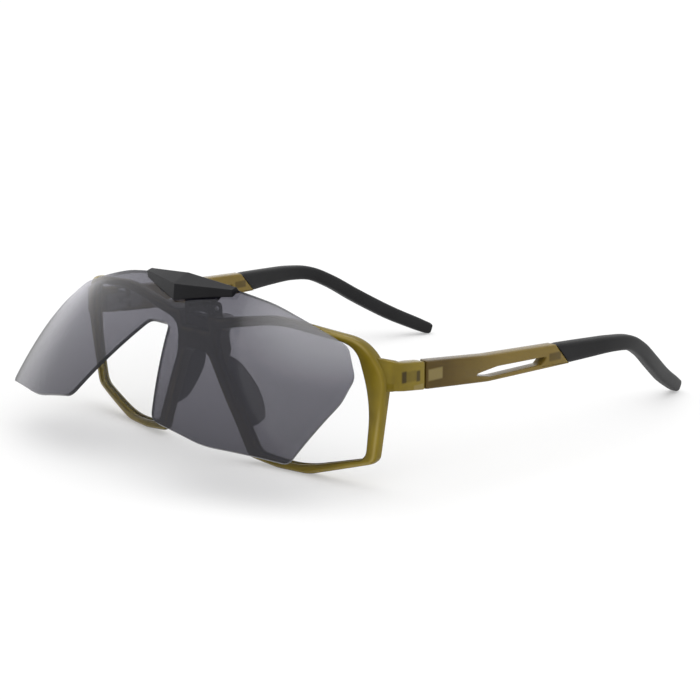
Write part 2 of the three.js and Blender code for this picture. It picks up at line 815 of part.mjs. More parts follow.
function frictionSpring() {
  const half = bracketArmHalf - spring.inset;
  const low = vector(-half, flipY + spring.front, mountTop + seatGap);
  const high = vector(half, flipY + spring.back, mountTop + seatGap + springThickness);
  return block(low, high);
}

// Shield, cover and bracket, drawn upright round the flip axis

// How far the notch stands in front of the flip axis, so that the shield's ends clear the rims
const shieldReach = shieldStandoff + fallBack(shieldRadius, outerX) - fallBack(frontRadius, outerX);

// Y of the sheet's front face at a place on it
function sheetFront(x, z) {
  const notchFall = fallBack(shieldRadius, shield.notch.z - shieldMiddle);
  return fallBack(shieldRadius, Math.hypot(x, z - shieldMiddle)) - notchFall - shieldReach;
}

function onSheet(geometry) {
  return warped(geometry, (place) => {
    place.y += sheetFront(place.x, place.z);
  });
}

// Outlines of the two screw holes
function screwHoles() {
  return [-shieldScrew.x, shieldScrew.x].map((x) => {
    const radius = shieldScrew.radius + seatGap;
    const hole = new THREE.Path().absarc(x, shieldScrew.z, radius, 0, 2 * Math.PI);
    return hole.getSpacedPoints(pinSides).slice(0, pinSides);
  });
}

function sunShield() {
  const outer = ({ x, z, r }) => corner(outerX + x, z, r);
  const inner = ({ x, z, r }) => corner(noseX + x, z, r);
  const corners = [
    inner(shield.crown),
    ...[shield.outerTop, shield.shoulder, shield.outerSide, shield.outerFoot].map(outer),
    ...[shield.foot, shield.noseFoot, shield.notch].map(inner),
  ];
  const top = corner(shield.topMiddle.x, shield.topMiddle.z, shield.topMiddle.r);
  const outline = roundedOutline([top, ...corners, ...mirroredCorners(corners)]);
  return toGeometry(toSolid(onSheet(fine(plate(outline, 0, shieldThickness, 0, screwHoles()), sheetStep))));
}

// Cover: columns across the sheet, each a low wedge with a crest
function flipCover() {
  const mix = THREE.MathUtils.lerp;
  const rings = Array.from({ length: cover.columns + 1 }, (_, i) => {
    const side = (2 * i) / cover.columns - 1;
    const share = Math.abs(side);
    const x = side * cover.half;
    const rise = mix(cover.riseMiddle, cover.riseEnd, share);
    const foot = mix(cover.tip, cover.endFoot, share);
    const crest = mix(cover.crestMiddle, cover.crestEnd, share);
    return [
      [cover.top, 0],
      [cover.top, rise * cover.riseTop],
      [crest, rise],
      [foot, cover.edge],
      [foot, 0],
    ].map(([z, off]) => vector(x, sheetFront(x, z) - seatGap - off, z));
  });
  const holeStart = sheetFront(shieldScrew.x, shieldScrew.z) - shieldScrew.bite - 2 * seatGap;
  const holes = [-shieldScrew.x, shieldScrew.x].map((x) =>
    rodY(shieldScrew.radius + seatGap, holeStart, 0, x, shieldScrew.z));
  return cut(loft(rings), ...holes);
}

const bracketFront = shieldThickness + seatGap;

function flipBracket() {
  const outline = roundedOutline(
    [
      corner(-bracketHalf, -bracketFoot, bracketFillet),
      corner(bracketHalf, -bracketFoot, bracketFillet),
      corner(bracketHalf, bracketTop, bracketFillet),
      corner(-bracketHalf, bracketTop, bracketFillet),
    ],
    blockStep,
  );
  const back = onSheet(fine(plate(outline, bracketFront, bracketThickness, 0, screwHoles()), sheetStep));
  const armFront = sheetFront(bracketArmHalf, 0) + bracketFront + bracketThickness / 2;
  const half = bracketArmHeight / 2;
  const arm = block(vector(-bracketArmHalf, armFront, -half), vector(bracketArmHalf, 0, half));
  const knuckle = rodX(flipKnuckle, -bracketArmHalf, bracketArmHalf, 0, 0, holeSides);
  const far = bracketArmHalf + cutOver;
  const bore = rodX(pinRadius + runGap, -far, far, 0, 0, holeSides);
  return cut(join(back, arm, knuckle), bore);
}

function shieldScrewAt(x) {
  const { z } = shieldScrew;
  const front = sheetFront(x, z);
  const headFront = front + bracketFront + bracketThickness + seatGap;
  const shank = rodY(shieldScrew.radius, front - seatGap - shieldScrew.bite, headFront + seatGap, x, z);
  const head = rodY(shieldScrew.headRadius, headFront, headFront + shieldScrew.headHeight, x, z, holeSides);
  return join(shank, head);
}

// Finishes

function finish(color, roughness, metalness) {
  return { color, roughness, metalness };
}

const oliveFront = finish(0x84742f, 0.42, 0);
const oliveArm = finish(0x786740, 0.45, 0);
const clearLens = finish(0xf2f5f4, 0.05, 0);
const greyLens = finish(0x5c5c62, 0.08, 0);
const blackSilicone = finish(0x34363a, 0.6, 0);
const blackRubber = finish(0x333335, 0.7, 0);
const blackPlastic = finish(0x3a393e, 0.5, 0);
const steel = finish(0xa9abad, 0.3, 1);
const magnetPlating = finish(0xb9bcbf, 0.22, 1);

function piece(name, geometry, look) {
  const mesh = new THREE.Mesh(geometry, new THREE.MeshStandardMaterial(look));
  mesh.name = name;
  return mesh;
}

// A piece of the wearer's left and its mirror image on the right
function pair(name, geometry, look) {
  return [piece(`${name}_left`, geometry, look), piece(`${name}_right`, mirrored(geometry), look)];
}

const glasses = new THREE.Group();
glasses.add(
  piece('frame_front', frameFront(), oliveFront),
  ...pair('lens', lens(), clearLens),
  ...pair('nose_pad', nosePad(), blackSilicone),
  ...pair('bridge_magnet', bridgeMagnet(magnetX), magnetPlating),
  ...pair('front_hinge_leaf', frontHingeLeaf(), steel),
  ...pair('hinge_screw', hingeScrew(), steel),
  ...pair('temple_arm', templeArm(), oliveArm),
  ...pair('temple_hinge_leaf', templeHingeLeaf(), steel),
  ...pair('temple_core', templeCore(), steel),
  ...pair('temple_tip', templeTip(), blackRubber),
);

const clip = new THREE.Group();
clip.add(
  piece('clip_mount', clipMount(), blackPlastic),
  ...pair('clip_magnet', clipMagnet(magnetX), magnetPlating),
  piece('flip_pin', flipPin(), steel),
  piece('friction_spring', frictionSpring(), steel),
);
glasses.add(clip);

const flip = new THREE.Group();
flip.position.set(0, flipY, flipZ);
flip.rotation.x = -flipAngle;
flip.add(
  piece('sun_shield', sunShield(), greyLens),
  piece('flip_cover', flipCover(), blackPlastic),
  piece('flip_bracket', flipBracket(), blackPlastic),
  ...pair('shield_screw', shieldScrewAt(shieldScrew.x), steel),
);
clip.add(flip);

// The origin is on the floor, under the middle of the whole
const model = new THREE.Group();
model.add(glasses);
const extent = new THREE.Box3().setFromObject(glasses, true);
glasses.position.y = -(extent.min.y + extent.max.y) / 2;

export default model;
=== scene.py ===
"""Looks of the magnetic clip-on eyeglasses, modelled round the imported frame.

Sizes are in millimetres in the bridge's own frame: x to the wearer's left, y back from the front
of the bridge and z up from the floor. to_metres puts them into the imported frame.
"""

import json
import logging
import math
from dataclasses import dataclass
from enum import Enum
from typing import Optional, Sequence, Union

import bmesh
import bpy
import numpy as np
from mathutils import Matrix, Vector


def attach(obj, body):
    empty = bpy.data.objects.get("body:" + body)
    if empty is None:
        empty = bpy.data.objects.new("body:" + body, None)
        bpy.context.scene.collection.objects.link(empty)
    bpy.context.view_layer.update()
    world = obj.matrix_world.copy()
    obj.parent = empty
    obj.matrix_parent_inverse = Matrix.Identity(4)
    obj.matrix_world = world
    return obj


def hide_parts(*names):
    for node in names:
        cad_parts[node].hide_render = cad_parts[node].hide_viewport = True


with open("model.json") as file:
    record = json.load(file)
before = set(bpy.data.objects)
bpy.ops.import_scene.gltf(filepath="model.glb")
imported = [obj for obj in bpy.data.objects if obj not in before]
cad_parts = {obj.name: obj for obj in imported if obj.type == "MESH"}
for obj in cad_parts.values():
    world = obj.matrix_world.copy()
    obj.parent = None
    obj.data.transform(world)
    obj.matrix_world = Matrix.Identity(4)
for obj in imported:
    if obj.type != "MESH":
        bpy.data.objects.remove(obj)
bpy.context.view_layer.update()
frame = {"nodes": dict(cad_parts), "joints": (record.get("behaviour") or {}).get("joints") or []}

logging.basicConfig(level=logging.INFO, format="%(message)s")
log = logging.getLogger("eyeglasses")

MM = 0.001
TINY = 1e-6
FLIP_BEHIND_BRIDGE = 2.8
# Mesh attribute that holds painted highlight and painted shade for the front's edges
WALL = "wall"
SIDES = ("left", "right")

Piece = bpy.types.Object
Number = Union[float, "Signal"]
Span = tuple[float, float]


def joint_place(name: str) -> Vector:
    """Place of one of the record's joints, in metres."""
    joint = next(j for j in frame["joints"] if j["name"] == name)
    return Vector(joint["pos_m"])


BRIDGE_Y = joint_place("shield_flip").y / MM - FLIP_BEHIND_BRIDGE


def to_metres(points: np.ndarray) -> np.ndarray:
    """Points of the bridge's frame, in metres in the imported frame."""
    return (points + np.array([0.0, BRIDGE_Y, 0.0])) * MM


def along(ends: Sequence[float], share: float) -> float:
    """Value at a share of the way from the first of two ends to the second."""
    return ends[0] + (ends[1] - ends[0]) * share


def ease(values: np.ndarray, low: float, high: float) -> np.ndarray:
    """Smooth rise from 0 at low to 1 at high."""
    share = np.clip((values - low) / (high - low), 0.0, 1.0)
    return share * share * (3.0 - 2.0 * share)


def fall_back(radius: float, distance: np.ndarray) -> np.ndarray:
    """How far a round surface falls back at a distance from its middle."""
    return radius - np.sqrt(radius**2 - np.asarray(distance) ** 2)


def tip_share(distance: float, least: float) -> float:
    """Share of its full section that a round tip has, 0 to 1 from its end; least keeps the end open."""
    return math.sqrt(max(least, 1 - max(0.0, 1 - distance) ** 2))


# Shared sizes


@dataclass(frozen=True)
class LensBox:
    """Rectangle round one lens opening, and the surface that the front follows."""

    width: float = 54.0
    height: float = 40.6
    bridge: float = 17.2
    low_z: float = 2.8
    wrap_radius: float = 200.0
    lean: float = 0.07
    depth: float = 3.5

    @property
    def nose_x(self) -> float:
        """Nose side of the box."""
        return self.bridge / 2

    @property
    def outer_x(self) -> float:
        """Temple side of the box."""
        return self.nose_x + self.width

    @property
    def high_z(self) -> float:
        """Top of the box."""
        return self.low_z + self.height

    @property
    def sides(self) -> tuple[float, float, float, float]:
        """Nose side, temple side, foot and top."""
        return self.nose_x, self.outer_x, self.low_z, self.high_z

    @property
    def middle(self) -> Span:
        """Middle of the box: x and z."""
        return (self.nose_x + self.outer_x) / 2, (self.low_z + self.high_z) / 2

    def offset(self, x: np.ndarray, z: np.ndarray) -> np.ndarray:
        """How far the front's face lies behind the front of the bridge at a place."""
        return fall_back(self.wrap_radius, x) - self.lean * (z - self.middle[1])


@dataclass(frozen=True)
class HingeLine:
    """Where the temples are hinged, on the wearer's left."""

    box: LensBox
    level: float = 11.7
    height: float = 8.2
    gap: float = 0.25
    arm_thickness: float = 4.0
    arm_outer: float = 7.9
    room_radius: float = 1.7

    @property
    def axis_x(self) -> float:
        """Distance of the hinge's axis from the middle."""
        return joint_place("temple_left_fold").x / MM

    @property
    def y(self) -> float:
        """The hinge line behind the front of the bridge."""
        return joint_place("temple_left_fold").y / MM - BRIDGE_Y

    @property
    def z(self) -> float:
        """Height of the hinge's middle."""
        return self.box.high_z - self.level

    @property
    def outer_x(self) -> float:
        """Outer face of the temple at the hinge."""
        return self.box.outer_x + self.arm_outer

    @property
    def inner_x(self) -> float:
        """Inner face of the temple at the hinge."""
        return self.outer_x - self.arm_thickness

    def room(self, side: int) -> Piece:
        """Cutter that clears room for the knuckles.

        Args:
            side: 1 for the left hinge and -1 for the right one.

        Returns:
            The cutter.
        """
        x = side * self.axis_x
        ends = (x, self.y, self.z - self.height), (x, self.y, self.z + self.height)
        return Bench.rod("hinge_room", self.room_radius, *ends)


# Outlines


@dataclass(frozen=True)
class Corner:
    """Corner of an outline with the radius of its rounding."""

    u: float
    v: float
    r: float = 0.0


class Outline:
    """Closed line with rounded corners, measured along its own length."""

    ARC_STEPS = 12

    def __init__(self, corners: Sequence[Corner]) -> None:
        """Works out the line and the middle of each rounding.

        Args:
            corners: the corners in order round the line.
        """
        points: list[np.ndarray] = []
        middles: list[int] = []
        row = list(corners)
        for before, here, after in zip(row[-1:] + row[:-1], row, row[1:] + row[:1]):
            at = np.array([here.u, here.v])
            back = np.array([before.u, before.v]) - at
            ahead = np.array([after.u, after.v]) - at
            back_length, ahead_length = np.linalg.norm(back), np.linalg.norm(ahead)
            turn = np.clip(back @ ahead / (back_length * ahead_length), -1.0, 1.0)
            half = math.acos(turn) / 2
            reach = min(here.r / math.tan(half), back_length / 2, ahead_length / 2)
            if reach < TINY:
                middles.append(len(points))
                points.append(at)
                continue
            start = at + back * (reach / back_length)
            end = at + ahead * (reach / ahead_length)
            middles.append(len(points) + self.ARC_STEPS // 2)
            for t in np.linspace(0.0, 1.0, self.ARC_STEPS + 1):
                points.append((1 - t) ** 2 * start + 2 * t * (1 - t) * at + t**2 * end)
        self.line = np.array(points + points[:1])
        steps = np.linalg.norm(np.diff(self.line, axis=0), axis=1)
        self.places = np.concatenate([[0.0], np.cumsum(steps)])
        self.length = float(self.places[-1])
        self.knots = self.places[middles]

    def between(self, corner: int, share: float) -> float:
        """Place on the way from one corner's middle to the next one's.

        Args:
            corner: number of the first corner.
            share: share of the way.

        Returns:
            The place along the line.
        """
        start = self.knots[corner]
        last = corner + 1 == len(self.knots)
        end = self.knots[0] + self.length if last else self.knots[corner + 1]
        return float(start + share * (end - start))

    def counts(self, step: float, least: int = 2) -> list[int]:
        """Numbers of points from each corner's middle to the next one's, a step or less apart."""
        spans = np.diff([*self.knots, self.knots[0] + self.length])
        return [max(least, math.ceil(span / step)) for span in spans]

    def at(self, places: np.ndarray) -> np.ndarray:
        """Points at places along the line."""
        wrapped = np.mod(places, self.length)
        return np.stack([np.interp(wrapped, self.places, self.line[:, i]) for i in (0, 1)], axis=1)

    def even(self, count: int) -> np.ndarray:
        """A number of points round the line, at equal steps."""
        return self.at(np.linspace(0.0, self.length, count, endpoint=False))

    def sample(self, anchors: Sequence[float], counts: Sequence[int]) -> np.ndarray:
        """Points round the line, with a set number from each anchor to the next.

        Args:
            anchors: places along the line, in order.
            counts: number of points from each anchor up to the next one.

        Returns:
            The points, one row each.
        """
        stops = [*anchors, anchors[0] + self.length]
        spans = zip(stops, stops[1:], counts)
        return self.at(np.concatenate([np.linspace(a, b, n, endpoint=False) for a, b, n in spans]))


def outward(loop: np.ndarray) -> np.ndarray:
    """Works out which way is out of a closed loop.

    Args:
        loop: the loop's points, one row each.

    Returns:
        A unit vector for each point.
    """
    following = np.roll(loop, -1, axis=0)
    way = following - np.roll(loop, 1, axis=0)
    area = np.sum(loop[:, 0] * following[:, 1] - following[:, 0] * loop[:, 1])
    normals = np.stack([way[:, 1], -way[:, 0]], axis=1) * np.sign(area)
    return normals / np.linalg.norm(normals, axis=1)[:, None]


@dataclass
class PiercedPlate:
    """Plate with one hole and rounded edges, as rings round its section.

    The loops have equal numbers of points. Rings hold both outline coordinates and the depth.
    A groove in the hole's wall is given as its reach, its start and its end.
    """

    outer: np.ndarray
    outer_normals: np.ndarray
    inner: np.ndarray
    inner_normals: np.ndarray
    outer_radius: np.ndarray
    inner_radius: np.ndarray
    outer_depth: np.ndarray
    inner_depth: np.ndarray
    groove: Optional[tuple[float, float, float]] = None
    turns: tuple[float, ...] = (0.0, 30.0, 60.0, 90.0)

    def edge(self, inside: bool, back: bool) -> list[np.ndarray]:
        """Rings round one edge, from the wall to the face.

        Args:
            inside: True for the hole's edge.
            back: True for the edge of the far face.

        Returns:
            The rings in order.
        """
        loop, normals = (self.inner, self.inner_normals) if inside else (self.outer, -self.outer_normals)
        radius = self.inner_radius if inside else self.outer_radius
        depth = self.inner_depth if inside else self.outer_depth
        rings = []
        for turn in map(math.radians, self.turns):
            flat = loop + normals * (radius * (1 - math.cos(turn)))[:, None]
            rise = radius * (1 - math.sin(turn))
            rings.append(np.column_stack([flat, depth - rise if back else rise]))
        return rings

    def rings(self) -> list[np.ndarray]:
        """Goes round the section: from the outer wall over the front, through the hole and over the back.

        Returns:
            All rings in order.
        """
        made = self.edge(inside=False, back=False)
        made += reversed(self.edge(inside=True, back=False))
        if self.groove:
            reach, start, end = self.groove
            deep = self.inner + self.inner_normals * reach
            for flat, level in ((self.inner, start), (deep, start), (deep, end), (self.inner, end)):
                made.append(np.column_stack([flat, np.full(len(flat), level)]))
        made += self.edge(inside=True, back=True)
        made += reversed(self.edge(inside=False, back=True))
        return made


# Modelling by hand


class Ends(Enum):
    """How the first and the last ring of a skin are closed."""

    JOINED = "joined"
    CAPPED = "capped"
    SHEET = "sheet"


class Bench:
    """Blender's operators, used on one piece at a time."""

    @staticmethod
    def clear() -> None:
        """Deselects everything."""
        bpy.ops.object.select_all(action="DESELECT")

    @staticmethod
    def take(piece: Piece) -> None:
        """Makes a piece the only one selected, and the active one.

        Args:
            piece: the piece to work on.
        """
        Bench.clear()
        piece.select_set(True)
        bpy.context.view_layer.objects.active = piece

    @staticmethod
    def edit(piece: Piece, mode: str = "VERT") -> bmesh.types.BMesh:
        """Takes a piece into edit mode with nothing selected.

        Args:
            piece: the piece to edit.
            mode: what is selected: VERT, EDGE or FACE.

        Returns:
            The mesh in edit mode.
        """
        Bench.take(piece)
        bpy.ops.object.mode_set(mode="EDIT")
        bpy.ops.mesh.select_mode(type=mode)
        bpy.ops.mesh.select_all(action="DESELECT")
        return Bench.mesh(piece)

    @staticmethod
    def edit_all(piece: Piece) -> None:
        """Takes a piece into edit mode with everything selected."""
        Bench.edit(piece)
        bpy.ops.mesh.select_all(action="SELECT")

    @staticmethod
    def mesh(piece: Piece) -> bmesh.types.BMesh:
        """Makes the mesh of a piece in edit mode ready to be looked up.

        Args:
            piece: a piece in edit mode.

        Returns:
            Its mesh.
        """
        mesh = bmesh.from_edit_mesh(piece.data)
        for part in (mesh.verts, mesh.edges, mesh.faces):
            part.index_update()
            part.ensure_lookup_table()
        return mesh

    @staticmethod
    def done() -> None:
        """Leaves edit mode."""
        bpy.ops.object.mode_set(mode="OBJECT")

    @staticmethod
    def put(piece: Piece, loop: Sequence[int], points: np.ndarray) -> None:
        """Moves vertices of a piece in edit mode.

        Args:
            piece: the piece.
            loop: numbers of the vertices.
            points: where they go, in the bridge's frame.
        """
        mesh = Bench.mesh(piece)
        for index, point in zip(loop, to_metres(points)):
            mesh.verts[index].co = point
        bmesh.update_edit_mesh(piece.data)

    @staticmethod
    def onward(piece: Piece, loop: Sequence[int]) -> list[int]:
        """Finds the vertices that an extrusion has just drawn out.

        Args:
            piece: a piece in edit mode.
            loop: the vertices that they were drawn from.

        Returns:
            The new vertices, in the same order.
        """
        mesh = Bench.mesh(piece)
        drawn = []
        for index in loop:
            start = mesh.verts[index]
            ends = (edge.other_vert(start) for edge in start.link_edges)
            drawn.append(next(end.index for end in ends if end.select))
        return drawn

    @staticmethod
    def pick_edges(piece: Piece, pairs: Sequence[tuple[int, int]]) -> None:
        """Selects edges of a piece in edit mode.

        Args:
            piece: the piece.
            pairs: the two vertices of each edge.
        """
        mesh = Bench.mesh(piece)
        for a, b in pairs:
            mesh.edges.get((mesh.verts[a], mesh.verts[b])).select_set(True)
        bmesh.update_edit_mesh(piece.data)

    @staticmethod
    def pick_loop(piece: Piece, loop: Sequence[int]) -> None:
        """Selects the edges of a closed loop of vertices."""
        Bench.pick_edges(piece, list(zip(loop, [*loop[1:], loop[0]])))

    @staticmethod
    def modifier(piece: Piece, kind: str, **settings: object) -> None:
        """Adds a modifier and applies it.

        Args:
            piece: the piece.
            kind: the modifier's type.
            settings: its settings, by name.
        """
        Bench.take(piece)
        added = piece.modifiers.new(kind.lower(), kind)
        for name, value in settings.items():
            setattr(added, name, value)
        bpy.ops.object.modifier_apply(modifier=added.name)

    @staticmethod
    def complete(half: Piece) -> None:
        """Joins a left half with its mirror image."""
        Bench.modifier(half, "MIRROR", use_mirror_merge=True, merge_threshold=TINY)

    @staticmethod
    def tidy(piece: Piece, crease: float) -> None:
        """Turns all faces outwards and shades them smooth.

        Args:
            piece: the piece.
            crease: the angle over which an edge stays sharp, in degrees.
        """
        Bench.edit_all(piece)
        bpy.ops.mesh.normals_make_consistent(inside=False)
        Bench.done()
        bpy.ops.object.shade_smooth_by_angle(angle=math.radians(crease))

    @staticmethod
    def skin(name: str, rings: Sequence[np.ndarray], ends: Ends) -> tuple[Piece, list[list[int]]]:
        """Draws a skin ring by ring: a circle is added and put in place, and its edge drawn onwards.

        Args:
            name: name of the piece.
            rings: equal numbers of points in the bridge's frame.
            ends: how the first and the last ring are closed.

        Returns:
            The piece and the vertices of each ring.
        """
        Bench.clear()
        count = len(rings[0])
        bpy.ops.mesh.primitive_circle_add(vertices=count, radius=MM, fill_type="NOTHING")
        piece = bpy.context.object
        piece.name = piece.data.name = name
        Bench.edit(piece, "EDGE")
        bpy.ops.mesh.select_all(action="SELECT")
        loops = [list(range(count))]
        Bench.put(piece, loops[0], rings[0])
        for ring in rings[1:]:
            bpy.ops.mesh.extrude_edges_move()
            loops.append(Bench.onward(piece, loops[-1]))
            Bench.put(piece, loops[-1], ring)
        if ends is Ends.JOINED:
            Bench.pick_loop(piece, loops[0])
            bpy.ops.mesh.bridge_edge_loops()
        elif ends is Ends.SHEET:
            bpy.ops.mesh.merge(type="CENTER")
        else:
            bpy.ops.mesh.edge_face_add()
            bpy.ops.mesh.select_all(action="DESELECT")
            Bench.pick_loop(piece, loops[0])
            bpy.ops.mesh.edge_face_add()
        Bench.done()
        return piece, loops

    @staticmethod
    def mirrored(piece: Piece, name: str) -> Piece:
        """Makes the other side's copy of a piece, with a mesh of its own.

        Args:
            piece: the left piece.
            name: name of the copy.

        Returns:
            The right piece.
        """
        copy = piece.copy()
        copy.data = piece.data.copy()
        copy.name = copy.data.name = name
        bpy.context.scene.collection.objects.link(copy)
        Bench.edit_all(copy)
        bpy.ops.transform.resize(value=(-1, 1, 1), center_override=(0, 0, 0))
        bpy.ops.mesh.flip_normals()
        Bench.done()
        return copy

    @staticmethod
    def rod(
        name: str, radius: float, start: Sequence[float], end: Sequence[float], sides: int = 48
    ) -> Piece:
        """Round bar between two points of the bridge's frame, with its place in its mesh.

        Args:
            name: name of the piece.
            radius: radius of the bar.
            start: middle of one end.
            end: middle of the other end.
            sides: number of sides.

        Returns:
            The bar.
        """
        low, high = (Vector(p) for p in to_metres(np.array([start, end], dtype=float)))
        length = high - low
        Bench.clear()
        turn = length.to_track_quat("Z", "Y").to_euler()
        bpy.ops.mesh.primitive_cylinder_add(
            vertices=sides,
            radius=radius * MM,
            depth=length.length,
            location=(low + high) / 2,
            rotation=turn,
        )
        bar = bpy.context.object
        bar.name = bar.data.name = name
        bpy.ops.object.transform_apply(location=True, rotation=True, scale=True)
        return bar

    @staticmethod
    def cut(piece: Piece, *tools: Piece) -> None:
        """Cuts tools out of a piece, and removes the tools.

        Args:
            piece: the piece to cut.
            tools: the cutters.
        """
        for tool in tools:
            Bench.modifier(piece, "BOOLEAN", operation="DIFFERENCE", object=tool, solver="MANIFOLD")
            bpy.data.objects.remove(tool)

    @staticmethod
    def soften(piece: Piece, width: float, angle: float, segments: int = 2) -> None:
        """Rounds the sharp edges of a piece.

        Args:
            piece: the piece.
            width: width of the rounding.
            angle: the angle over which an edge is rounded, in degrees.
            segments: faces across the rounding.
        """
        Bench.modifier(
            piece,
            "BEVEL",
            width=width * MM,
            segments=segments,
            limit_method="ANGLE",
            angle_limit=math.radians(angle),
            harden_normals=False,
        )


# Shader nodes


class Signal:
    """A value socket of a shader, for use in sums."""

    def __init__(self, sheet: "NodeSheet", socket: bpy.types.NodeSocket) -> None:
        """Keeps the socket and the sheet that it is on."""
        self.sheet = sheet
        self.socket = socket

    def __add__(self, other: Number) -> "Signal":
        """Sum."""
        return self.sheet.maths("ADD", self, other)

    __radd__ = __add__

    def __mul__(self, other: Number) -> "Signal":
        """Product."""
        return self.sheet.maths("MULTIPLY", self, other)

    def __sub__(self, other: Number) -> "Signal":
        """Difference."""
        return self.sheet.maths("SUBTRACT", self, other)

    def __rsub__(self, other: Number) -> "Signal":
        """Difference from a number."""
        return self.sheet.maths("SUBTRACT", other, self)

    def __pow__(self, other: Number) -> "Signal":
        """Power."""
        return self.sheet.maths("POWER", self, other)

    def __abs__(self) -> "Signal":
        """Size without its sign."""
        return self.sheet.maths("ABSOLUTE", self, 0.0)


Socket = Union[float, Sequence[float], bpy.types.NodeSocket, Signal]


class NodeSheet:
    """A node tree that is written as expressions."""

    def __init__(self, tree: bpy.types.NodeTree) -> None:
        """Starts with an empty tree."""
        self.tree = tree
        tree.nodes.clear()

    def node(
        self, kind: str, settings: Optional[dict] = None, sockets: Optional[dict] = None
    ) -> bpy.types.Node:
        """Adds a node.

        Args:
            kind: the node's type, without the word ShaderNode.
            settings: properties that are set first.
            sockets: values or links of its inputs, by name or number.

        Returns:
            The node.
        """
        made = self.tree.nodes.new("ShaderNode" + kind)
        for name, value in (settings or {}).items():
            setattr(made, name, value)
        for name, value in (sockets or {}).items():
            value = value.socket if isinstance(value, Signal) else value
            if isinstance(value, bpy.types.NodeSocket):
                self.tree.links.new(value, made.inputs[name])
            else:
                made.inputs[name].default_value = value
        return made

    def maths(self, operation: str, first: Number, second: Number) -> Signal:
        """Adds a Math node."""
        made = self.node("Math", {"operation": operation}, {0: first, 1: second})
        return Signal(self, made.outputs[0])

    def positive(self, value: Signal) -> Signal:
        """A value, or 0 where it is below 0."""
        return self.maths("MAXIMUM", value, 0.0)

    def rise(self, value: Signal, low: float, high: float) -> Signal:
        """Smooth rise of a value.

        Args:
            value: the value.
            low: where the rise is 0.
            high: where it is 1.

        Returns:
            The rise.
        """
        made = self.node(
            "MapRange",
            {"interpolation_type": "SMOOTHSTEP"},
            {"Value": value, "From Min": low, "From Max": high},
        )
        return Signal(self, made.outputs[0])

    def band(self, value: Signal, low: float, high: float, soft: float) -> Signal:
        """1 between low and high, with soft ends."""
        return self.rise(value, low - soft, low + soft) * (1 - self.rise(value, high - soft, high + soft))

    def blend(self, factor: Number, first: Socket, second: Socket) -> bpy.types.NodeSocket:
        """Mixes two colours."""
        made = self.node("Mix", {"data_type": "RGBA"}, {0: factor, 6: first, 7: second})
        return made.outputs[2]

    def apart(self, vector: bpy.types.NodeSocket) -> list[Signal]:
        """The three values of a vector."""
        return [Signal(self, socket) for socket in self.node("SeparateXYZ", sockets={0: vector}).outputs]

    def places(self) -> tuple[bpy.types.NodeSocket, Signal, Signal, Signal]:
        """Adds the place on the piece.

        Returns:
            Object coordinates in metres, and x, y and z in millimetres of the bridge's frame.
        """
        where = self.node("TexCoord").outputs["Object"]
        x, y, z = (value * (1 / MM) for value in self.apart(where))
        return where, x, y - BRIDGE_Y, z

    def noise(self, where: Socket, scale: float, detail: float = 2.0) -> Signal:
        """Soft noise of a number of spots to the metre, round one half."""
        made = self.node("TexNoise", sockets={"Vector": where, "Scale": scale, "Detail": detail})
        return Signal(self, made.outputs[0])

    def bump(self, height: Signal, distance: float, strength: float) -> bpy.types.NodeSocket:
        """A normal that follows a height, in metres."""
        made = self.node("Bump", sockets={"Height": height, "Distance": distance, "Strength": strength})
        return made.outputs[0]


Colour = tuple[float, float, float, float]
WHITE: Colour = (1.0, 1.0, 1.0, 1.0)


def linear(value: int) -> float:
    """One channel of a screen's 0 to 255 scale, as an amount of light."""
    share = value / 255
    return share / 12.92 if share <= 0.04045 else ((share + 0.055) / 1.055) ** 2.4


def srgb(red: int, green: int, blue: int) -> Colour:
    """Colour of a screen's 0 to 255 scale, as the shaders take it."""
    return linear(red), linear(green), linear(blue), 1.0


# Finishes


@dataclass(frozen=True)
class Finish:
    """A material with a name and the record's slot that it belongs to."""

    name: str
    slot: str

    def surface(self, sheet: NodeSheet) -> bpy.types.Node:
        """The shader of this finish, on a sheet."""
        raise NotImplementedError

    def material(self) -> bpy.types.Material:
        """Makes the material, once.

        Returns:
            The material.
        """
        found = bpy.data.materials.get(self.name)
        if found:
            return found
        made = bpy.data.materials.new(self.name)
        made.use_nodes = True
        sheet = NodeSheet(made.node_tree)
        shader = self.surface(sheet)
        sheet.node("OutputMaterial", sockets={"Surface": shader.outputs[0]})
        return made

    def dress(self, piece: Piece, *others: "Finish") -> None:
        """Gives a piece this finish.

        Args:
            piece: the piece.
            others: finishes for the faces that are marked for them.
        """
        marks = [face.material_index for face in piece.data.polygons]
        piece.data.materials.clear()
        for look in (self, *others):
            piece.data.materials.append(look.material())
        piece.data.polygons.foreach_set("material_index", marks)


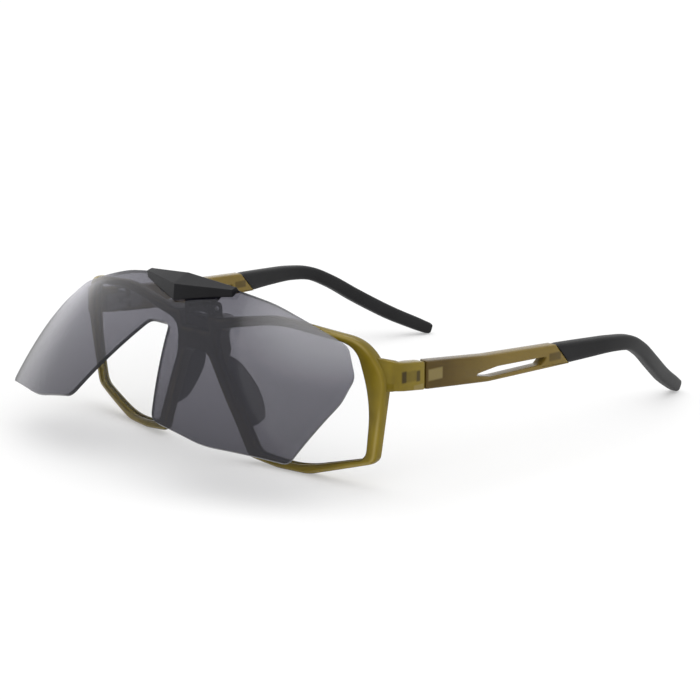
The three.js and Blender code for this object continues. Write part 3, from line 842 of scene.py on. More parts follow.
@dataclass(frozen=True)
class OlivePlastic(Finish):
    """Cloudy olive plastic that shows the hinge inside it as paler and darker patches; one pale patch is a
    painted highlight.

    Patches are (y low, y high, z low, z high, strength) with a positive strength for paler.
    Where it has walls, the mesh says where a highlight is painted on the rounded outer edge, and below 0
    where shade is painted on a wall.
    """

    deep: Colour = srgb(118, 101, 20)
    pale: Colour = srgb(138, 119, 28)
    cloud_scale: float = 70.0
    cloud_detail: float = 3.0
    cloud_range: Span = (0.3, 0.7)
    walls: bool = False
    # Painted highlight on the rounded outer edge, and painted shade on the walls
    wall_highlight: Colour = srgb(184, 166, 104)
    wall_highlight_share: float = 0.5
    painted_wall_shade: Colour = srgb(62, 52, 10)
    painted_wall_shade_share: float = 0.7
    # Painted shade towards the nose, and painted shadow of the clip over the bridge
    painted_nose_shade: Colour = srgb(66, 58, 16)
    nose_shade_share: float = 0.75
    nose_x: Span = (14.0, 46.0)
    painted_bridge_shadow: Colour = srgb(40, 38, 26)
    bridge_x: Span = (8.0, 20.0)
    tail: Optional[Colour] = None
    tail_y: Span = (0.0, 1.0)
    patches: tuple[tuple[float, float, float, float, float], ...] = ()
    # Pale of the hinge seen through, and of the painted highlight patch
    patch_pale_and_highlight: Colour = srgb(138, 124, 78)
    patch_dark: Colour = srgb(36, 25, 2)
    patch_soft: float = 0.35
    least_x: float = 0.0
    least_soft: float = 0.5
    grain_scale: float = 2600.0
    grain_share: float = 0.12
    relief: float = 0.00001
    relief_strength: float = 0.5
    roughness: float = 0.24
    refraction: float = 1.5
    gloss: float = 0.22
    glow: float = 0.25
    glow_reach: tuple[float, float, float] = (0.0016, 0.0013, 0.0004)

    def paint_light_and_shade(self, sheet: NodeSheet, aside: Signal, colour: Socket) -> bpy.types.NodeSocket:
        """Paints shade towards the nose, shadow over the bridge and shade on the walls, and a painted
        highlight on the rounding of the outer edge.

        Args:
            sheet: the shader's sheet.
            aside: distance from the middle.
            colour: the plastic's colour.

        Returns:
            The new colour.
        """
        # Painted shade: the rim darkens towards the nose, and the bridge under the clip darkens further as
        # painted shadow
        nose_shade_mask = (1 - sheet.rise(aside, *self.nose_x)) * self.nose_shade_share
        colour = sheet.blend(nose_shade_mask, colour, self.painted_nose_shade)
        colour = sheet.blend(1 - sheet.rise(aside, *self.bridge_x), colour, self.painted_bridge_shadow)
        # Above 0: painted highlight on the rounded outer edge; below 0: painted shade on walls and round
        # the opening
        wall = Signal(sheet, sheet.node("Attribute", {"attribute_name": WALL}).outputs["Fac"])
        colour = sheet.blend(sheet.positive(wall) * self.wall_highlight_share, colour, self.wall_highlight)
        return sheet.blend(sheet.positive(wall * -1.0) * self.painted_wall_shade_share, colour, self.painted_wall_shade)

    def surface(self, sheet: NodeSheet) -> bpy.types.Node:
        """The shader of this finish.

        Args:
            sheet: the sheet that it is put on.

        Returns:
            The shader's node.
        """
        where, x, y, z = sheet.places()
        aside = abs(x)
        cloud = sheet.noise(where, self.cloud_scale, self.cloud_detail)
        colour = sheet.blend(sheet.rise(cloud, *self.cloud_range), self.deep, self.pale)
        # Painted shade and painted highlight, where the mesh has them
        if self.walls:
            colour = self.paint_light_and_shade(sheet, aside, colour)
        if self.tail:
            colour = sheet.blend(sheet.rise(y, *self.tail_y), colour, self.tail)
        soft = self.patch_soft
        outside = (self.least_x - self.least_soft, self.least_x + self.least_soft)
        for y_low, y_high, z_low, z_high, strength in self.patches:
            mask = sheet.band(y, y_low, y_high, soft) * sheet.band(z, z_low, z_high, soft)
            mask = mask * sheet.rise(aside, *outside)
            target = self.patch_pale_and_highlight if strength > 0 else self.patch_dark
            colour = sheet.blend(mask * abs(strength), colour, target)
        grain = sheet.noise(where, self.grain_scale)
        return sheet.node(
            "BsdfPrincipled",
            sockets={
                "Base Color": colour,
                "Roughness": self.roughness + (grain - 0.5) * self.grain_share,
                "IOR": self.refraction,
                "Specular IOR Level": self.gloss,
                "Subsurface Weight": self.glow,
                "Subsurface Radius": self.glow_reach,
                "Subsurface Scale": 1.0,
                "Normal": sheet.bump(grain, self.relief, self.relief_strength),
            },
        )


@dataclass(frozen=True)
class ClearLens(Finish):
    """Polished clear lens: little but its gloss shows, and more of it where it is seen at a slant."""

    tint: Colour = srgb(226, 232, 232)
    facing: float = 0.03
    slant: float = 0.35
    slant_blend: float = 0.25
    slant_power: float = 3.0
    roughness: float = 0.03
    wipe_scale: float = 160.0
    wipe_share: float = 0.03
    refraction: float = 1.5

    def surface(self, sheet: NodeSheet) -> bpy.types.Node:
        """The shader of this finish.

        Args:
            sheet: the sheet that it is put on.

        Returns:
            The shader's node.
        """
        where = sheet.places()[0]
        weight = sheet.node("LayerWeight", sockets={"Blend": self.slant_blend})
        slant = Signal(sheet, weight.outputs["Facing"])
        wipe = sheet.noise(where, self.wipe_scale, detail=1.0)
        return sheet.node(
            "BsdfPrincipled",
            sockets={
                "Base Color": self.tint,
                "Roughness": self.roughness + wipe * self.wipe_share,
                "IOR": self.refraction,
                "Alpha": self.facing + slant**self.slant_power * self.slant,
            },
        )


@dataclass(frozen=True)
class SmokeLens(Finish):
    """Grey tinted sheet, polished, denser towards its foot and clearer up on its outer sides, which stands
    in for a painted reflection.
    """

    tint: Colour = srgb(28, 28, 36)
    density_top: float = 0.63
    density_foot: float = 0.72
    fade_z: Span = (12.0, 46.0)
    reflection_clearing: float = 0.0
    reflection_clearing_x: Span = (36.0, 56.0)
    reflection_clearing_z: Span = (24.0, 40.0)
    roughness: float = 0.04
    wipe_scale: float = 120.0
    wipe_share: float = 0.03
    refraction: float = 1.5
    gloss: float = 0.45
    through: Colour = (0.94, 0.93, 1.0, 1.0)

    def surface(self, sheet: NodeSheet) -> bpy.types.Node:
        """The shader of this finish.

        Args:
            sheet: the sheet that it is put on.

        Returns:
            The shader's node.
        """
        where, x, _, z = sheet.places()
        wipe = sheet.noise(where, self.wipe_scale, detail=1.0)
        fade = sheet.rise(z, *self.fade_z) * (self.density_top - self.density_foot)
        # Less dense up on the outer sides: painted reflection of the bright surround on the edge
        reflection_clearing = sheet.rise(abs(x), *self.reflection_clearing_x) * sheet.rise(z, *self.reflection_clearing_z)
        density = self.density_foot + (fade - reflection_clearing * self.reflection_clearing)
        clear = sheet.node("BsdfTransparent", sockets={"Color": self.through})
        film = sheet.node(
            "BsdfPrincipled",
            sockets={
                "Base Color": self.tint,
                "Roughness": self.roughness + wipe * self.wipe_share,
                "IOR": self.refraction,
                "Specular IOR Level": self.gloss,
            },
        )
        return sheet.node("MixShader", sockets={0: density, 1: clear.outputs[0], 2: film.outputs[0]})


@dataclass(frozen=True)
class GrainedBlack(Finish):
    """Dark plastic, rubber or silicone with a fine grain."""

    deep: Colour
    pale: Colour
    roughness: float
    grain_scale: float
    relief: float
    relief_strength: float = 0.6
    cloud_scale: float = 90.0
    cloud_share: float = 0.16
    speck_range: Span = (0.35, 0.65)
    refraction: float = 1.45
    gloss: float = 0.4
    sheen: float = 0.0
    sheen_roughness: float = 0.5

    def surface(self, sheet: NodeSheet) -> bpy.types.Node:
        """The shader of this finish.

        Args:
            sheet: the sheet that it is put on.

        Returns:
            The shader's node.
        """
        where = sheet.places()[0]
        grain = sheet.noise(where, self.grain_scale, detail=3.0)
        cloud = sheet.noise(where, self.cloud_scale)
        speck = sheet.rise(grain * 0.5 + cloud * 0.5, *self.speck_range)
        return sheet.node(
            "BsdfPrincipled",
            sockets={
                "Base Color": sheet.blend(speck, self.deep, self.pale),
                "Roughness": self.roughness + (cloud - 0.5) * self.cloud_share,
                "IOR": self.refraction,
                "Specular IOR Level": self.gloss,
                "Sheen Weight": self.sheen,
                "Sheen Roughness": self.sheen_roughness,
                "Normal": sheet.bump(grain, self.relief, self.relief_strength),
            },
        )


@dataclass(frozen=True)
class Metal(Finish):
    """Drawn or plated metal with fine streaks along one axis."""

    bright: Colour
    dull: Colour
    roughness: float
    dull_range: Span = (0.35, 0.75)
    cloud_scale: float = 500.0
    streak_scale: float = 4200.0
    streak_share: float = 0.2
    stretch: tuple[float, float, float] = (1.0, 1.0, 0.06)
    relief: float = 0.000004
    relief_strength: float = 0.5

    def surface(self, sheet: NodeSheet) -> bpy.types.Node:
        """The shader of this finish.

        Args:
            sheet: the sheet that it is put on.

        Returns:
            The shader's node.
        """
        where = sheet.places()[0]
        drawn = sheet.node("Mapping", sockets={"Vector": where, "Scale": self.stretch}).outputs[0]
        streak = sheet.noise(drawn, self.streak_scale)
        cloud = sheet.noise(where, self.cloud_scale)
        return sheet.node(
            "BsdfPrincipled",
            sockets={
                "Base Color": sheet.blend(sheet.rise(cloud, *self.dull_range), self.bright, self.dull),
                "Metallic": 1.0,
                "Roughness": self.roughness + (streak - 0.5) * self.streak_share,
                "Normal": sheet.bump(streak, self.relief, self.relief_strength),
            },
        )


OLIVE_FRONT = OlivePlastic(
    "olive_front_plastic",
    "olive_front",
    walls=True,
    least_x=64.5,
    patches=(
        (12.6, 26.0, 24.0, 40.0, -0.22),
        (14.9, 16.6, 31.0, 34.3, -0.85),
        (20.5, 22.0, 30.6, 33.7, -0.8),
        (16.6, 20.5, 31.0, 34.0, -0.3),
        # Painted highlight: a pale patch on the endpiece below the hinge's dark slots
        (19.5, 23.2, 28.0, 29.6, 0.6),
    ),
)
OLIVE_ARM = OlivePlastic(
    "olive_arm_plastic",
    "olive_arm",
    deep=srgb(72, 55, 12),
    pale=srgb(86, 68, 19),
    tail=srgb(116, 97, 42),
    tail_y=(30.0, 58.0),
    patches=(
        (25.3, 30.8, 29.9, 33.2, 0.7),
        (74.8, 79.8, 27.2, 29.6, -0.55),
    ),
)
CLEAR_LENS = ClearLens("clear_lens_polish", "clear_lens")
SMOKE_LENS = SmokeLens("grey_lens_tint", "grey_lens")
SMOKE_EDGE = SmokeLens(
    "grey_lens_edge",
    "grey_lens",
    tint=srgb(14, 14, 17),
    density_top=0.93,
    density_foot=0.96,
    # The edge is made clearer up on its outer sides as a painted reflection
    reflection_clearing=0.6,
    roughness=0.12,
    gloss=0.4,
)
SILICONE = GrainedBlack(
    "nose_pad_silicone",
    "black_silicone",
    deep=srgb(22, 24, 28),
    pale=srgb(30, 32, 37),
    roughness=0.48,
    grain_scale=2400.0,
    relief=0.000012,
)
RUBBER = GrainedBlack(
    "sleeve_rubber",
    "black_rubber",
    deep=srgb(19, 19, 20),
    pale=srgb(28, 28, 29),
    roughness=0.55,
    grain_scale=4200.0,
    relief=0.00002,
    gloss=0.2,
    sheen=0.06,
)
BLACK_PLASTIC = GrainedBlack(
    "clip_plastic",
    "black_plastic",
    deep=srgb(13, 13, 15),
    pale=srgb(21, 21, 24),
    roughness=0.45,
    grain_scale=3600.0,
    relief=0.000016,
    gloss=0.2,
)
STEEL = Metal("bright_steel", "steel", srgb(196, 198, 200), srgb(150, 150, 152), 0.28)
DARK_STEEL = Metal("hinge_steel", "steel", srgb(112, 110, 106), srgb(84, 82, 78), 0.4)
NICKEL = Metal("magnet_nickel", "magnet_plating", srgb(206, 207, 210), srgb(176, 176, 180), 0.2)


def finish_piece(piece: Piece, looks: Sequence[Finish], body: str, node: str) -> None:
    """Dresses a finished piece, seats it on its body and lets it stand for its node.

    Args:
        piece: the finished piece.
        looks: its finish, and any others for the faces that are marked for them.
        body: the body that it moves with.
        node: the node that it stands for.
    """
    looks[0].dress(piece, *looks[1:])
    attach(piece, body)
    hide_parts(node)
    log.info("%s: %d faces, on %s", piece.name, len(piece.data.polygons), body)


def finish_pair(left: Piece, look: Finish, body: str, kind: str) -> None:
    """Adds the mirror image of a left piece and finishes both.

    Args:
        left: the left piece.
        look: the finish of both.
        body: the body that each moves with, where {side} stands for its side.
        kind: the name of their nodes without the side.
    """
    right = Bench.mirrored(left, f"{kind}_right_form")
    for piece, side in zip((left, right), SIDES):
        finish_piece(piece, [look], body.format(side=side), f"{kind}_{side}")


# Sub-assemblies


@dataclass
class FrontFrame:
    """The olive front: two rims, bridge with the clip's recess, nose legs and endpieces.

    The endpiece's path is given on its outer and its inner side as steps (x, y) from its rear end,
    and end_levels says how far each step has come from the rim's heights to the hinge's.
    """

    box: LensBox
    hinge: HingeLine
    step: float = 0.8
    crease: float = 38.0
    rim_round: float = 1.15
    bridge_round: float = 0.4
    round_x: Span = (9.0, 16.0)
    opening_round: float = 0.6
    opening_shade: float = 1.1
    wall_shade: float = 0.4
    wall_fade: float = 1.5
    plain_x: Span = (50.0, 56.0)
    plain_foot: Span = (17.0, 26.0)
    plain_top: Span = (38.0, 42.0)
    plain_share: float = 0.85
    groove_depth: float = 0.9
    groove_width: float = 1.8
    bridge_back: float = 6.6
    bridge_x: Span = (9.0, 15.0)
    bridge_z: Span = (27.0, 32.0)
    recess_half: float = 6.4
    recess_floor: float = 37.5
    magnet_radius: float = 1.8
    magnet_room: float = 2.5
    magnet_clear: float = 1.0
    magnet_x: float = 3.2
    end_slope: float = 0.12
    end_round: float = 0.55
    end_round_faces: int = 3
    end_rows: Span = (28.2, 38.2)
    end_outer: tuple[Span, ...] = (
        (-1.2, -11.2), (-0.45, -10.1), (-0.08, -8.6), (0.0, -6.5), (0.0, -3.0), (0.0, 0.0),
    )
    end_inner: tuple[Span, ...] = (
        (1.2, -8.2), (0.6, -7.0), (0.15, -5.7), (0.0, -4.5), (0.0, -2.2), (0.0, 0.0),
    )
    end_levels: tuple[float, ...] = (0.85, 0.97, 1.0, 1.0, 1.0, 1.0)

    @property
    def leg_foot(self) -> Corner:
        """Foot of the nose leg's edge."""
        return Corner(self.box.nose_x + 10.6, self.box.low_z - 1.4, 3)

    @property
    def leg_top(self) -> Corner:
        """Top of the nose leg's edge, under the bridge."""
        return Corner(self.box.nose_x - 3.7, self.box.high_z - 12.4, 4)

    def opening(self) -> Outline:
        """Draws the left lens opening.

        Returns:
            Its outline.
        """
        nose, outer, low, high = self.box.sides
        return Outline(
            [
                Corner(nose - 1.0, high - 4.9, 5),
                Corner(nose + 25.4, high + 0.6, 45),
                Corner(outer - 3.6, high - 2.4, 7),
                Corner(outer, low + 22.2, 60),
                Corner(outer - 2.4, low + 5.1, 4),
                Corner(nose + 29.4, low - 0.8, 40),
                Corner(nose + 13.9, low + 0.6, 4),
                Corner(nose + 0.6, low + 26.2, 12),
            ]
        )

    def edge(self) -> Outline:
        """Draws the outer edge of the left half, closed along the middle.

        Returns:
            Its outline.
        """
        nose, outer, low, high = self.box.sides
        return Outline(
            [
                Corner(0.0, self.recess_floor),
                Corner(self.recess_half, self.recess_floor, 0.5),
                Corner(self.recess_half, high - 1.0, 0.9),
                Corner(nose + 1.9, high - 1.0, 6),
                Corner(nose + 24.4, high + 3.0, 40),
                Corner(outer - 0.9, high - 0.5, 13),
                Corner(outer + 4.9, high - 10.9, 12),
                Corner(outer + 0.3, low + 3.9, 4),
                Corner(nose + 32.4, 0.0, 12),
                Corner(nose + 21.4, 0.0, 12),
                self.leg_foot,
                self.leg_top,
                Corner(0.0, self.leg_top.v),
            ]
        )

    def loops(self) -> tuple[np.ndarray, np.ndarray, int]:
        """Samples the edge and the opening so that their points face each other.

        Returns:
            The loop of the edge, the loop of the opening and the number of the arch's middle.
        """
        edge, opening = self.edge(), self.opening()
        counts = edge.counts(self.step)
        turn = opening.length
        facing = [
            opening.between(7, 0.5) - turn,
            opening.between(7, 0.75) - turn,
            opening.knots[0],
            opening.between(0, 0.12),
            opening.knots[1],
            opening.knots[2],
            opening.between(2, 0.5),
            opening.knots[4],
            opening.knots[5],
            opening.between(5, 0.4),
            opening.knots[6],
            opening.knots[7],
            opening.between(7, 0.25),
        ]
        return edge.sample(edge.knots, counts), opening.sample(facing, counts), sum(counts[:-1])

    def depth(self, loop: np.ndarray) -> np.ndarray:
        """Works out the depth of the front: the bridge is thicker than the rims.

        Args:
            loop: points on the front, as x and z.

        Returns:
            The depth at each point.
        """
        near = 1 - ease(np.abs(loop[:, 0]), *self.bridge_x)
        high = ease(loop[:, 1], *self.bridge_z)
        return self.box.depth + (self.bridge_back - self.box.depth) * near * high

    def half(self) -> Piece:
        """Builds the left half, open along the middle.

        Returns:
            The half.
        """
        outer, inner, arch = self.loops()
        normals = outward(outer)
        normals[np.abs(outer[:, 0]) < TINY] = 0.0
        normals[0] = (0.0, 1.0)
        normals[arch] = (0.0, -1.0)
        to_rim = ease(outer[:, 0], *self.round_x)
        radius = self.bridge_round + (self.rim_round - self.bridge_round) * to_rim
        groove_start = (self.box.depth - self.groove_width) / 2
        plate = PiercedPlate(
            outer,
            normals,
            inner,
            outward(inner),
            radius,
            np.full(len(inner), self.opening_round),
            self.depth(outer),
            self.depth(inner),
            (self.groove_depth, groove_start, groove_start + self.groove_width),
        )
        rings = []
        for u, v, w in (ring.T for ring in plate.rings()):
            rings.append(np.column_stack([u, w + self.box.offset(u, v), v]))
        piece, loops = Bench.skin("frame_front_form", rings, Ends.JOINED)
        self.draw_end(piece, loops[0], loops[-1])
        mesh = Bench.edit(piece, "FACE")
        for face in mesh.faces:
            face.select_set(all(abs(vert.co.x) < TINY for vert in face.verts))
        bmesh.update_edit_mesh(piece.data)
        bpy.ops.mesh.delete(type="FACE")
        Bench.done()
        return piece

    def draw_end(self, piece: Piece, front: Sequence[int], back: Sequence[int]) -> None:
        """Draws the endpiece out of the rim's outer wall and round to the hinge line.

        Args:
            piece: the left half.
            front: vertices of the wall's front edge.
            back: vertices of the wall's back edge.
        """
        mesh = Bench.edit(piece, "FACE")
        low, high = self.end_rows
        rows = [
            i for i, index in enumerate(front)
            if low < mesh.verts[index].co.z / MM < high and mesh.verts[index].co.x / MM > self.box.outer_x
        ]
        columns = [[front[i] for i in rows], [back[i] for i in rows]]
        walls = {*columns[0], *columns[1]}
        for face in mesh.faces:
            face.select_set(all(vert.index in walls for vert in face.verts))
        bmesh.update_edit_mesh(piece.data)
        root_z = [np.array([mesh.verts[i].co.z / MM for i in column]) for column in columns]
        rear_y = self.hinge.y - self.hinge.gap
        bases = (self.hinge.outer_x, self.hinge.inner_x)
        foot_z = self.hinge.z - self.hinge.height / 2
        hinge_z = foot_z + self.hinge.height * np.linspace(1.0, 0.0, len(rows))
        corners: list[list[int]] = []
        for outer, inner, level in zip(self.end_outer, self.end_inner, self.end_levels):
            bpy.ops.mesh.extrude_region_move()
            columns = [Bench.onward(piece, column) for column in columns]
            for column, base, (dx, dy), start_z in zip(columns, bases, (outer, inner), root_z):
                z = start_z + (hinge_z - self.end_slope * dy - start_z) * level
                x, y = np.full(len(rows), base + dx), np.full(len(rows), rear_y + dy)
                Bench.put(piece, column, np.column_stack([x, y, z]))
            corners.append([column[i] for column in columns for i in (0, -1)])
        bpy.ops.mesh.select_mode(type="EDGE")
        bpy.ops.mesh.select_all(action="DESELECT")
        for before, after in zip(corners, corners[1:]):
            Bench.pick_edges(piece, list(zip(before, after)))
        Bench.pick_loop(piece, [*columns[0], *reversed(columns[1])])
        bpy.ops.mesh.bevel(offset=self.end_round * MM, segments=self.end_round_faces, affect="EDGES")
        Bench.done()

    def build(self) -> None:
        """Builds and dresses the front."""
        piece = self.half()
        Bench.complete(piece)
        Bench.tidy(piece, self.crease)
        cutters = []
        for side in (-1, 1):
            cutters.append(self.hinge.room(side))
            x, y = side * self.magnet_x, self.bridge_back / 2
            low, high = self.recess_floor - self.magnet_room, self.recess_floor + self.magnet_clear
            cutters.append(Bench.rod("magnet_room", self.magnet_radius, (x, y, low), (x, y, high)))
        Bench.cut(piece, *cutters)
        Bench.tidy(piece, self.crease)
        self.mark_painted_light(piece)
        finish_piece(piece, [OLIVE_FRONT], "front", "frame_front")

    def mark_painted_light(self, piece: Piece) -> None:
        """Notes at each vertex the painted light: 1 for a painted highlight on the rounding of the outer
        edge, and below 0 for painted shade on walls and openings.

        Args:
            piece: the finished front.
        """
        places = np.empty(3 * len(piece.data.vertices))
        piece.data.vertices.foreach_get("co", places)
        x, y, z = (places.reshape(-1, 3) / MM - (0.0, BRIDGE_Y, 0.0)).T
        flat = np.column_stack([np.abs(x), z])
        outer, inner, _ = self.loops()
        near = []
        for loop, reach in ((outer, self.rim_round), (inner, self.opening_shade)):
            gaps = np.linalg.norm(flat[:, None, :] - loop[None, :, :], axis=2).min(axis=1)
            near.append(1 - ease(gaps, 0.0, reach))
        at_edge, at_opening = near
        ends = ease(np.abs(x), *self.plain_x) * ease(z, *self.plain_foot) * (1 - ease(z, *self.plain_top))
        # Painted highlight along the rounding of the outer edge, 1 halfway between the edge and the face,
        # mostly left off by the endpiece
        edge_highlight = 4 * at_edge * (1 - at_edge) * (1 - self.plain_share * ends)
        # Painted shade on the outer wall and at the opening's edge
        marks = edge_highlight - self.wall_shade * at_edge**3 - at_opening
        behind = y - self.box.offset(x, z)
        on_rim = 1 - ease(behind, self.box.depth, self.box.depth + self.wall_fade)
        walls = piece.data.attributes.new(WALL, "FLOAT", "POINT")
        walls.data.foreach_set("value", marks * on_rim)


@dataclass
class Lens:
    """A clear lens, sprung into the rim's groove."""

    front: FrontFrame
    thickness: float = 1.6
    grip: float = 0.75
    edge_round: float = 0.2
    crease: float = 50.0
    points: int = 160
    shares: tuple[float, ...] = (1.0, 0.985, 0.93, 0.82, 0.66, 0.46, 0.24, 0.05)

    def build(self) -> None:
        """Builds and dresses both lenses."""
        box = self.front.box
        loop = self.front.opening().even(self.points)
        loop = loop + outward(loop) * self.grip
        middle = np.array(box.middle)
        rings = []
        for share in self.shares:
            u, v = (middle + (loop - middle) * share).T
            rings.append(np.column_stack([u, box.depth / 2 + box.offset(u, v), v]))
        left, _ = Bench.skin("lens_left_form", rings, Ends.SHEET)
        Bench.modifier(left, "SOLIDIFY", thickness=self.thickness * MM, offset=0.0)
        Bench.soften(left, self.edge_round, self.crease)
        Bench.tidy(left, self.crease)
        finish_pair(left, CLEAR_LENS, "front", "lens")


@dataclass
class NosePad:
    """A silicone pad behind each nose leg, fullest in its middle."""

    front: FrontFrame
    foot: float = 9.9
    top: float = 30.0
    gap: float = 0.1
    root_x: float = 0.8
    taper: float = 0.62
    twist: float = 4.2
    points: int = 48
    layers: int = 30
    cushions: Span = (2.6, 3.2)
    least_swell: float = 0.06
    crease: float = 60.0

    def leg_edge(self, z: np.ndarray) -> np.ndarray:
        """Nose side of the leg at a height."""
        foot, top = self.front.leg_foot, self.front.leg_top
        return foot.u + (top.u - foot.u) * (z - foot.v) / (top.v - foot.v)

    def section(self) -> Outline:
        """Outline of the fullest section, across and back from the leg."""
        root = Corner(self.root_x, 0.0, 0.9)
        return Outline([root, Corner(3.4, 0.0, 0.9), Corner(5.6, 6.2, 2.2), Corner(1.2, 8.6, 2.2)])

    def layer(self, loop: np.ndarray, share: float) -> np.ndarray:
        """Ring of the pad at one height.

        Args:
            loop: the fullest section.
            share: share of the way from the foot to the top.

        Returns:
            The ring in the bridge's frame.
        """
        box = self.front.box
        height = along((self.foot, self.top), share)
        size = along((self.taper, 1.0), math.sin(math.pi * share))
        from_ends = (height - self.foot) / self.cushions[0], (self.top - height) / self.cushions[1]
        swell = tip_share(min(from_ends), self.least_swell)
        turn = self.twist * (0.5 - share) * loop[:, 1] / loop[:, 1].max()
        flat = np.column_stack([self.root_x + (loop[:, 0] - self.root_x + turn) * size, loop[:, 1] * size])
        middle = flat.mean(axis=0)
        middle[1] = flat[:, 1].min()
        u, w = (middle + (flat - middle) * swell).T
        z = np.full(len(u), height)
        x = u + self.leg_edge(z)
        return np.column_stack([x, w + self.gap + box.depth + box.offset(x, z), z])

    def build(self) -> None:
        """Builds and dresses both pads."""
        loop = self.section().even(self.points)
        shares = 0.5 - 0.5 * np.cos(np.linspace(0.0, math.pi, self.layers))
        rings = [self.layer(loop, share) for share in shares]
        left, _ = Bench.skin("nose_pad_left_form", rings, Ends.CAPPED)
        Bench.tidy(left, self.crease)
        finish_pair(left, SILICONE, "front", "nose_pad")


@dataclass
class Temple:
    """A slotted olive arm with a rubber sleeve over its rear end.

    Stations of the sleeve are (y, x, fall, height): the way back and out from the arm's rear end,
    the share of the fall to the tip, and the section's height.
    """

    hinge: HingeLine
    length: float = 56.7
    seam: float = 0.15
    waist: float = 25.0
    spread: float = 2.2
    slant: float = 3.0
    edge_round: float = 0.55
    slot_round: float = 0.5
    step: float = 0.8
    arm_crease: float = 38.0
    tip_z: float = 1.28
    sleeve_drop: float = 3.15
    sleeve_proud: float = 0.22
    sleeve_sides: int = 36
    sleeve_rings: int = 70
    sleeve_square: float = 0.55
    sleeve_start: float = 0.0066
    sleeve_lip: float = 0.35
    sleeve_crease: float = 50.0
    slant_reach: float = 14.0
    tip_round: float = 1.3
    least_tip: float = 0.12
    probe: float = 0.002
    stations: tuple[tuple[float, float, float, float], ...] = (
        (-0.7, 0.0, 0.0, 6.8),
        (11.3, 1.1, 0.007, 5.8),
        (22.3, 1.7, 0.02, 5.0),
        (31.3, 1.1, 0.07, 4.7),
        (39.3, -0.7, 0.205, 4.7),
        (49.3, -3.9, 0.44, 4.9),
        (61.3, -8.5, 0.705, 4.9),
        (71.3, -12.2, 0.89, 4.6),
        (76.9, -14.3, 0.99, 4.0),
    )

    def edge(self) -> Outline:
        """Draws the arm, seen from its side.

        Returns:
            Its outline.
        """
        y, z, half = self.hinge.y, self.hinge.z, self.hinge.height / 2
        front, rear = y + self.hinge.gap, y + self.length - self.seam
        return Outline(
            [
                Corner(front, z + half, 0.4),
                Corner(y + self.waist, z + 1.7, 40),
                Corner(rear - self.slant, z + 0.2),
                Corner(rear + self.slant, z - 6.5),
                Corner(y + self.waist, z - 6.2, 40),
                Corner(front, z - half, 0.4),
            ]
        )

    def slot(self) -> Outline:
        """Draws the teardrop slot.

        Returns:
            Its outline.
        """
        y, z, rear = self.hinge.y, self.hinge.z, self.hinge.y + self.length
        return Outline(
            [
                Corner(y + 18.6, z - 3.4, 0.6),
                Corner(y + 29, z - 2.3, 12),
                Corner(rear - 6.6, z - 2.9, 1),
                Corner(rear - 9.2, z - 5.0, 1),
                Corner(y + 27, z - 5.0, 12),
            ]
        )

    def arm(self) -> Piece:
        """Builds the left arm.

        Returns:
            The arm.
        """
        edge, slot = self.edge(), self.slot()
        counts = edge.counts(self.step, 3)
        facing = [
            slot.between(0, 0.02),
            slot.between(0, 0.55),
            slot.knots[2],
            slot.knots[3],
            slot.between(3, 0.6),
            slot.between(4, 0.98),
        ]
        outer, inner = edge.sample(edge.knots, counts), slot.sample(facing, counts)
        thick = np.full(len(outer), self.hinge.arm_thickness)
        plate = PiercedPlate(
            outer,
            outward(outer),
            inner,
            outward(inner),
            np.full(len(outer), self.edge_round),
            np.full(len(inner), self.slot_round),
            thick,
            thick,
        )
        rings = []
        for u, v, w in (ring.T for ring in plate.rings()):
            bow = self.spread * np.clip((u - self.hinge.y) / self.length, 0.0, None)
            rings.append(np.column_stack([self.hinge.outer_x - w + bow, u, v]))
        piece, _ = Bench.skin("temple_arm_left_form", rings, Ends.JOINED)
        Bench.tidy(piece, self.arm_crease)
        Bench.cut(piece, self.hinge.room(1))
        Bench.tidy(piece, self.arm_crease)
        return piece

    def line(self, share: float) -> tuple[np.ndarray, float]:
        """Middle line of the sleeve, a centripetal spline through its stations.

        Args:
            share: share of the way from the first station to the last.

        Returns:
            The point and the section's height there.
        """
        middle_x = (self.hinge.outer_x + self.hinge.inner_x) / 2 + self.spread
        start_z = self.hinge.z - self.sleeve_drop
        rows = [
            (middle_x + x, self.hinge.y + self.length + y, along((start_z, self.tip_z), fall))
            for y, x, fall, _ in self.stations
        ]
        knots = np.array(rows)
        knots = np.vstack([2 * knots[0] - knots[1], knots, 2 * knots[-1] - knots[-2]])
        place = share * (len(rows) - 1)
        i = min(int(place), len(rows) - 2)
        t = place - i
        p = knots[i : i + 4]
        d = np.linalg.norm(np.diff(p, axis=0), axis=1) ** 0.5
        slope_1 = ((p[1] - p[0]) / d[0] - (p[2] - p[0]) / (d[0] + d[1]) + (p[2] - p[1]) / d[1]) * d[1]
        slope_2 = ((p[2] - p[1]) / d[1] - (p[3] - p[1]) / (d[1] + d[2]) + (p[3] - p[2]) / d[2]) * d[1]
        a = 2 * p[1] - 2 * p[2] + slope_1 + slope_2
        b = -3 * p[1] + 3 * p[2] - 2 * slope_1 - slope_2
        height = self.stations[i][3] + t * (self.stations[i + 1][3] - self.stations[i][3])
        return ((a * t + b) * t + slope_1) * t + p[1], height

    def squared(self, values: np.ndarray) -> np.ndarray:
        """Sines or cosines of a circle, pressed out towards a square with round corners."""
        return np.sign(values) * np.abs(values) ** self.sleeve_square

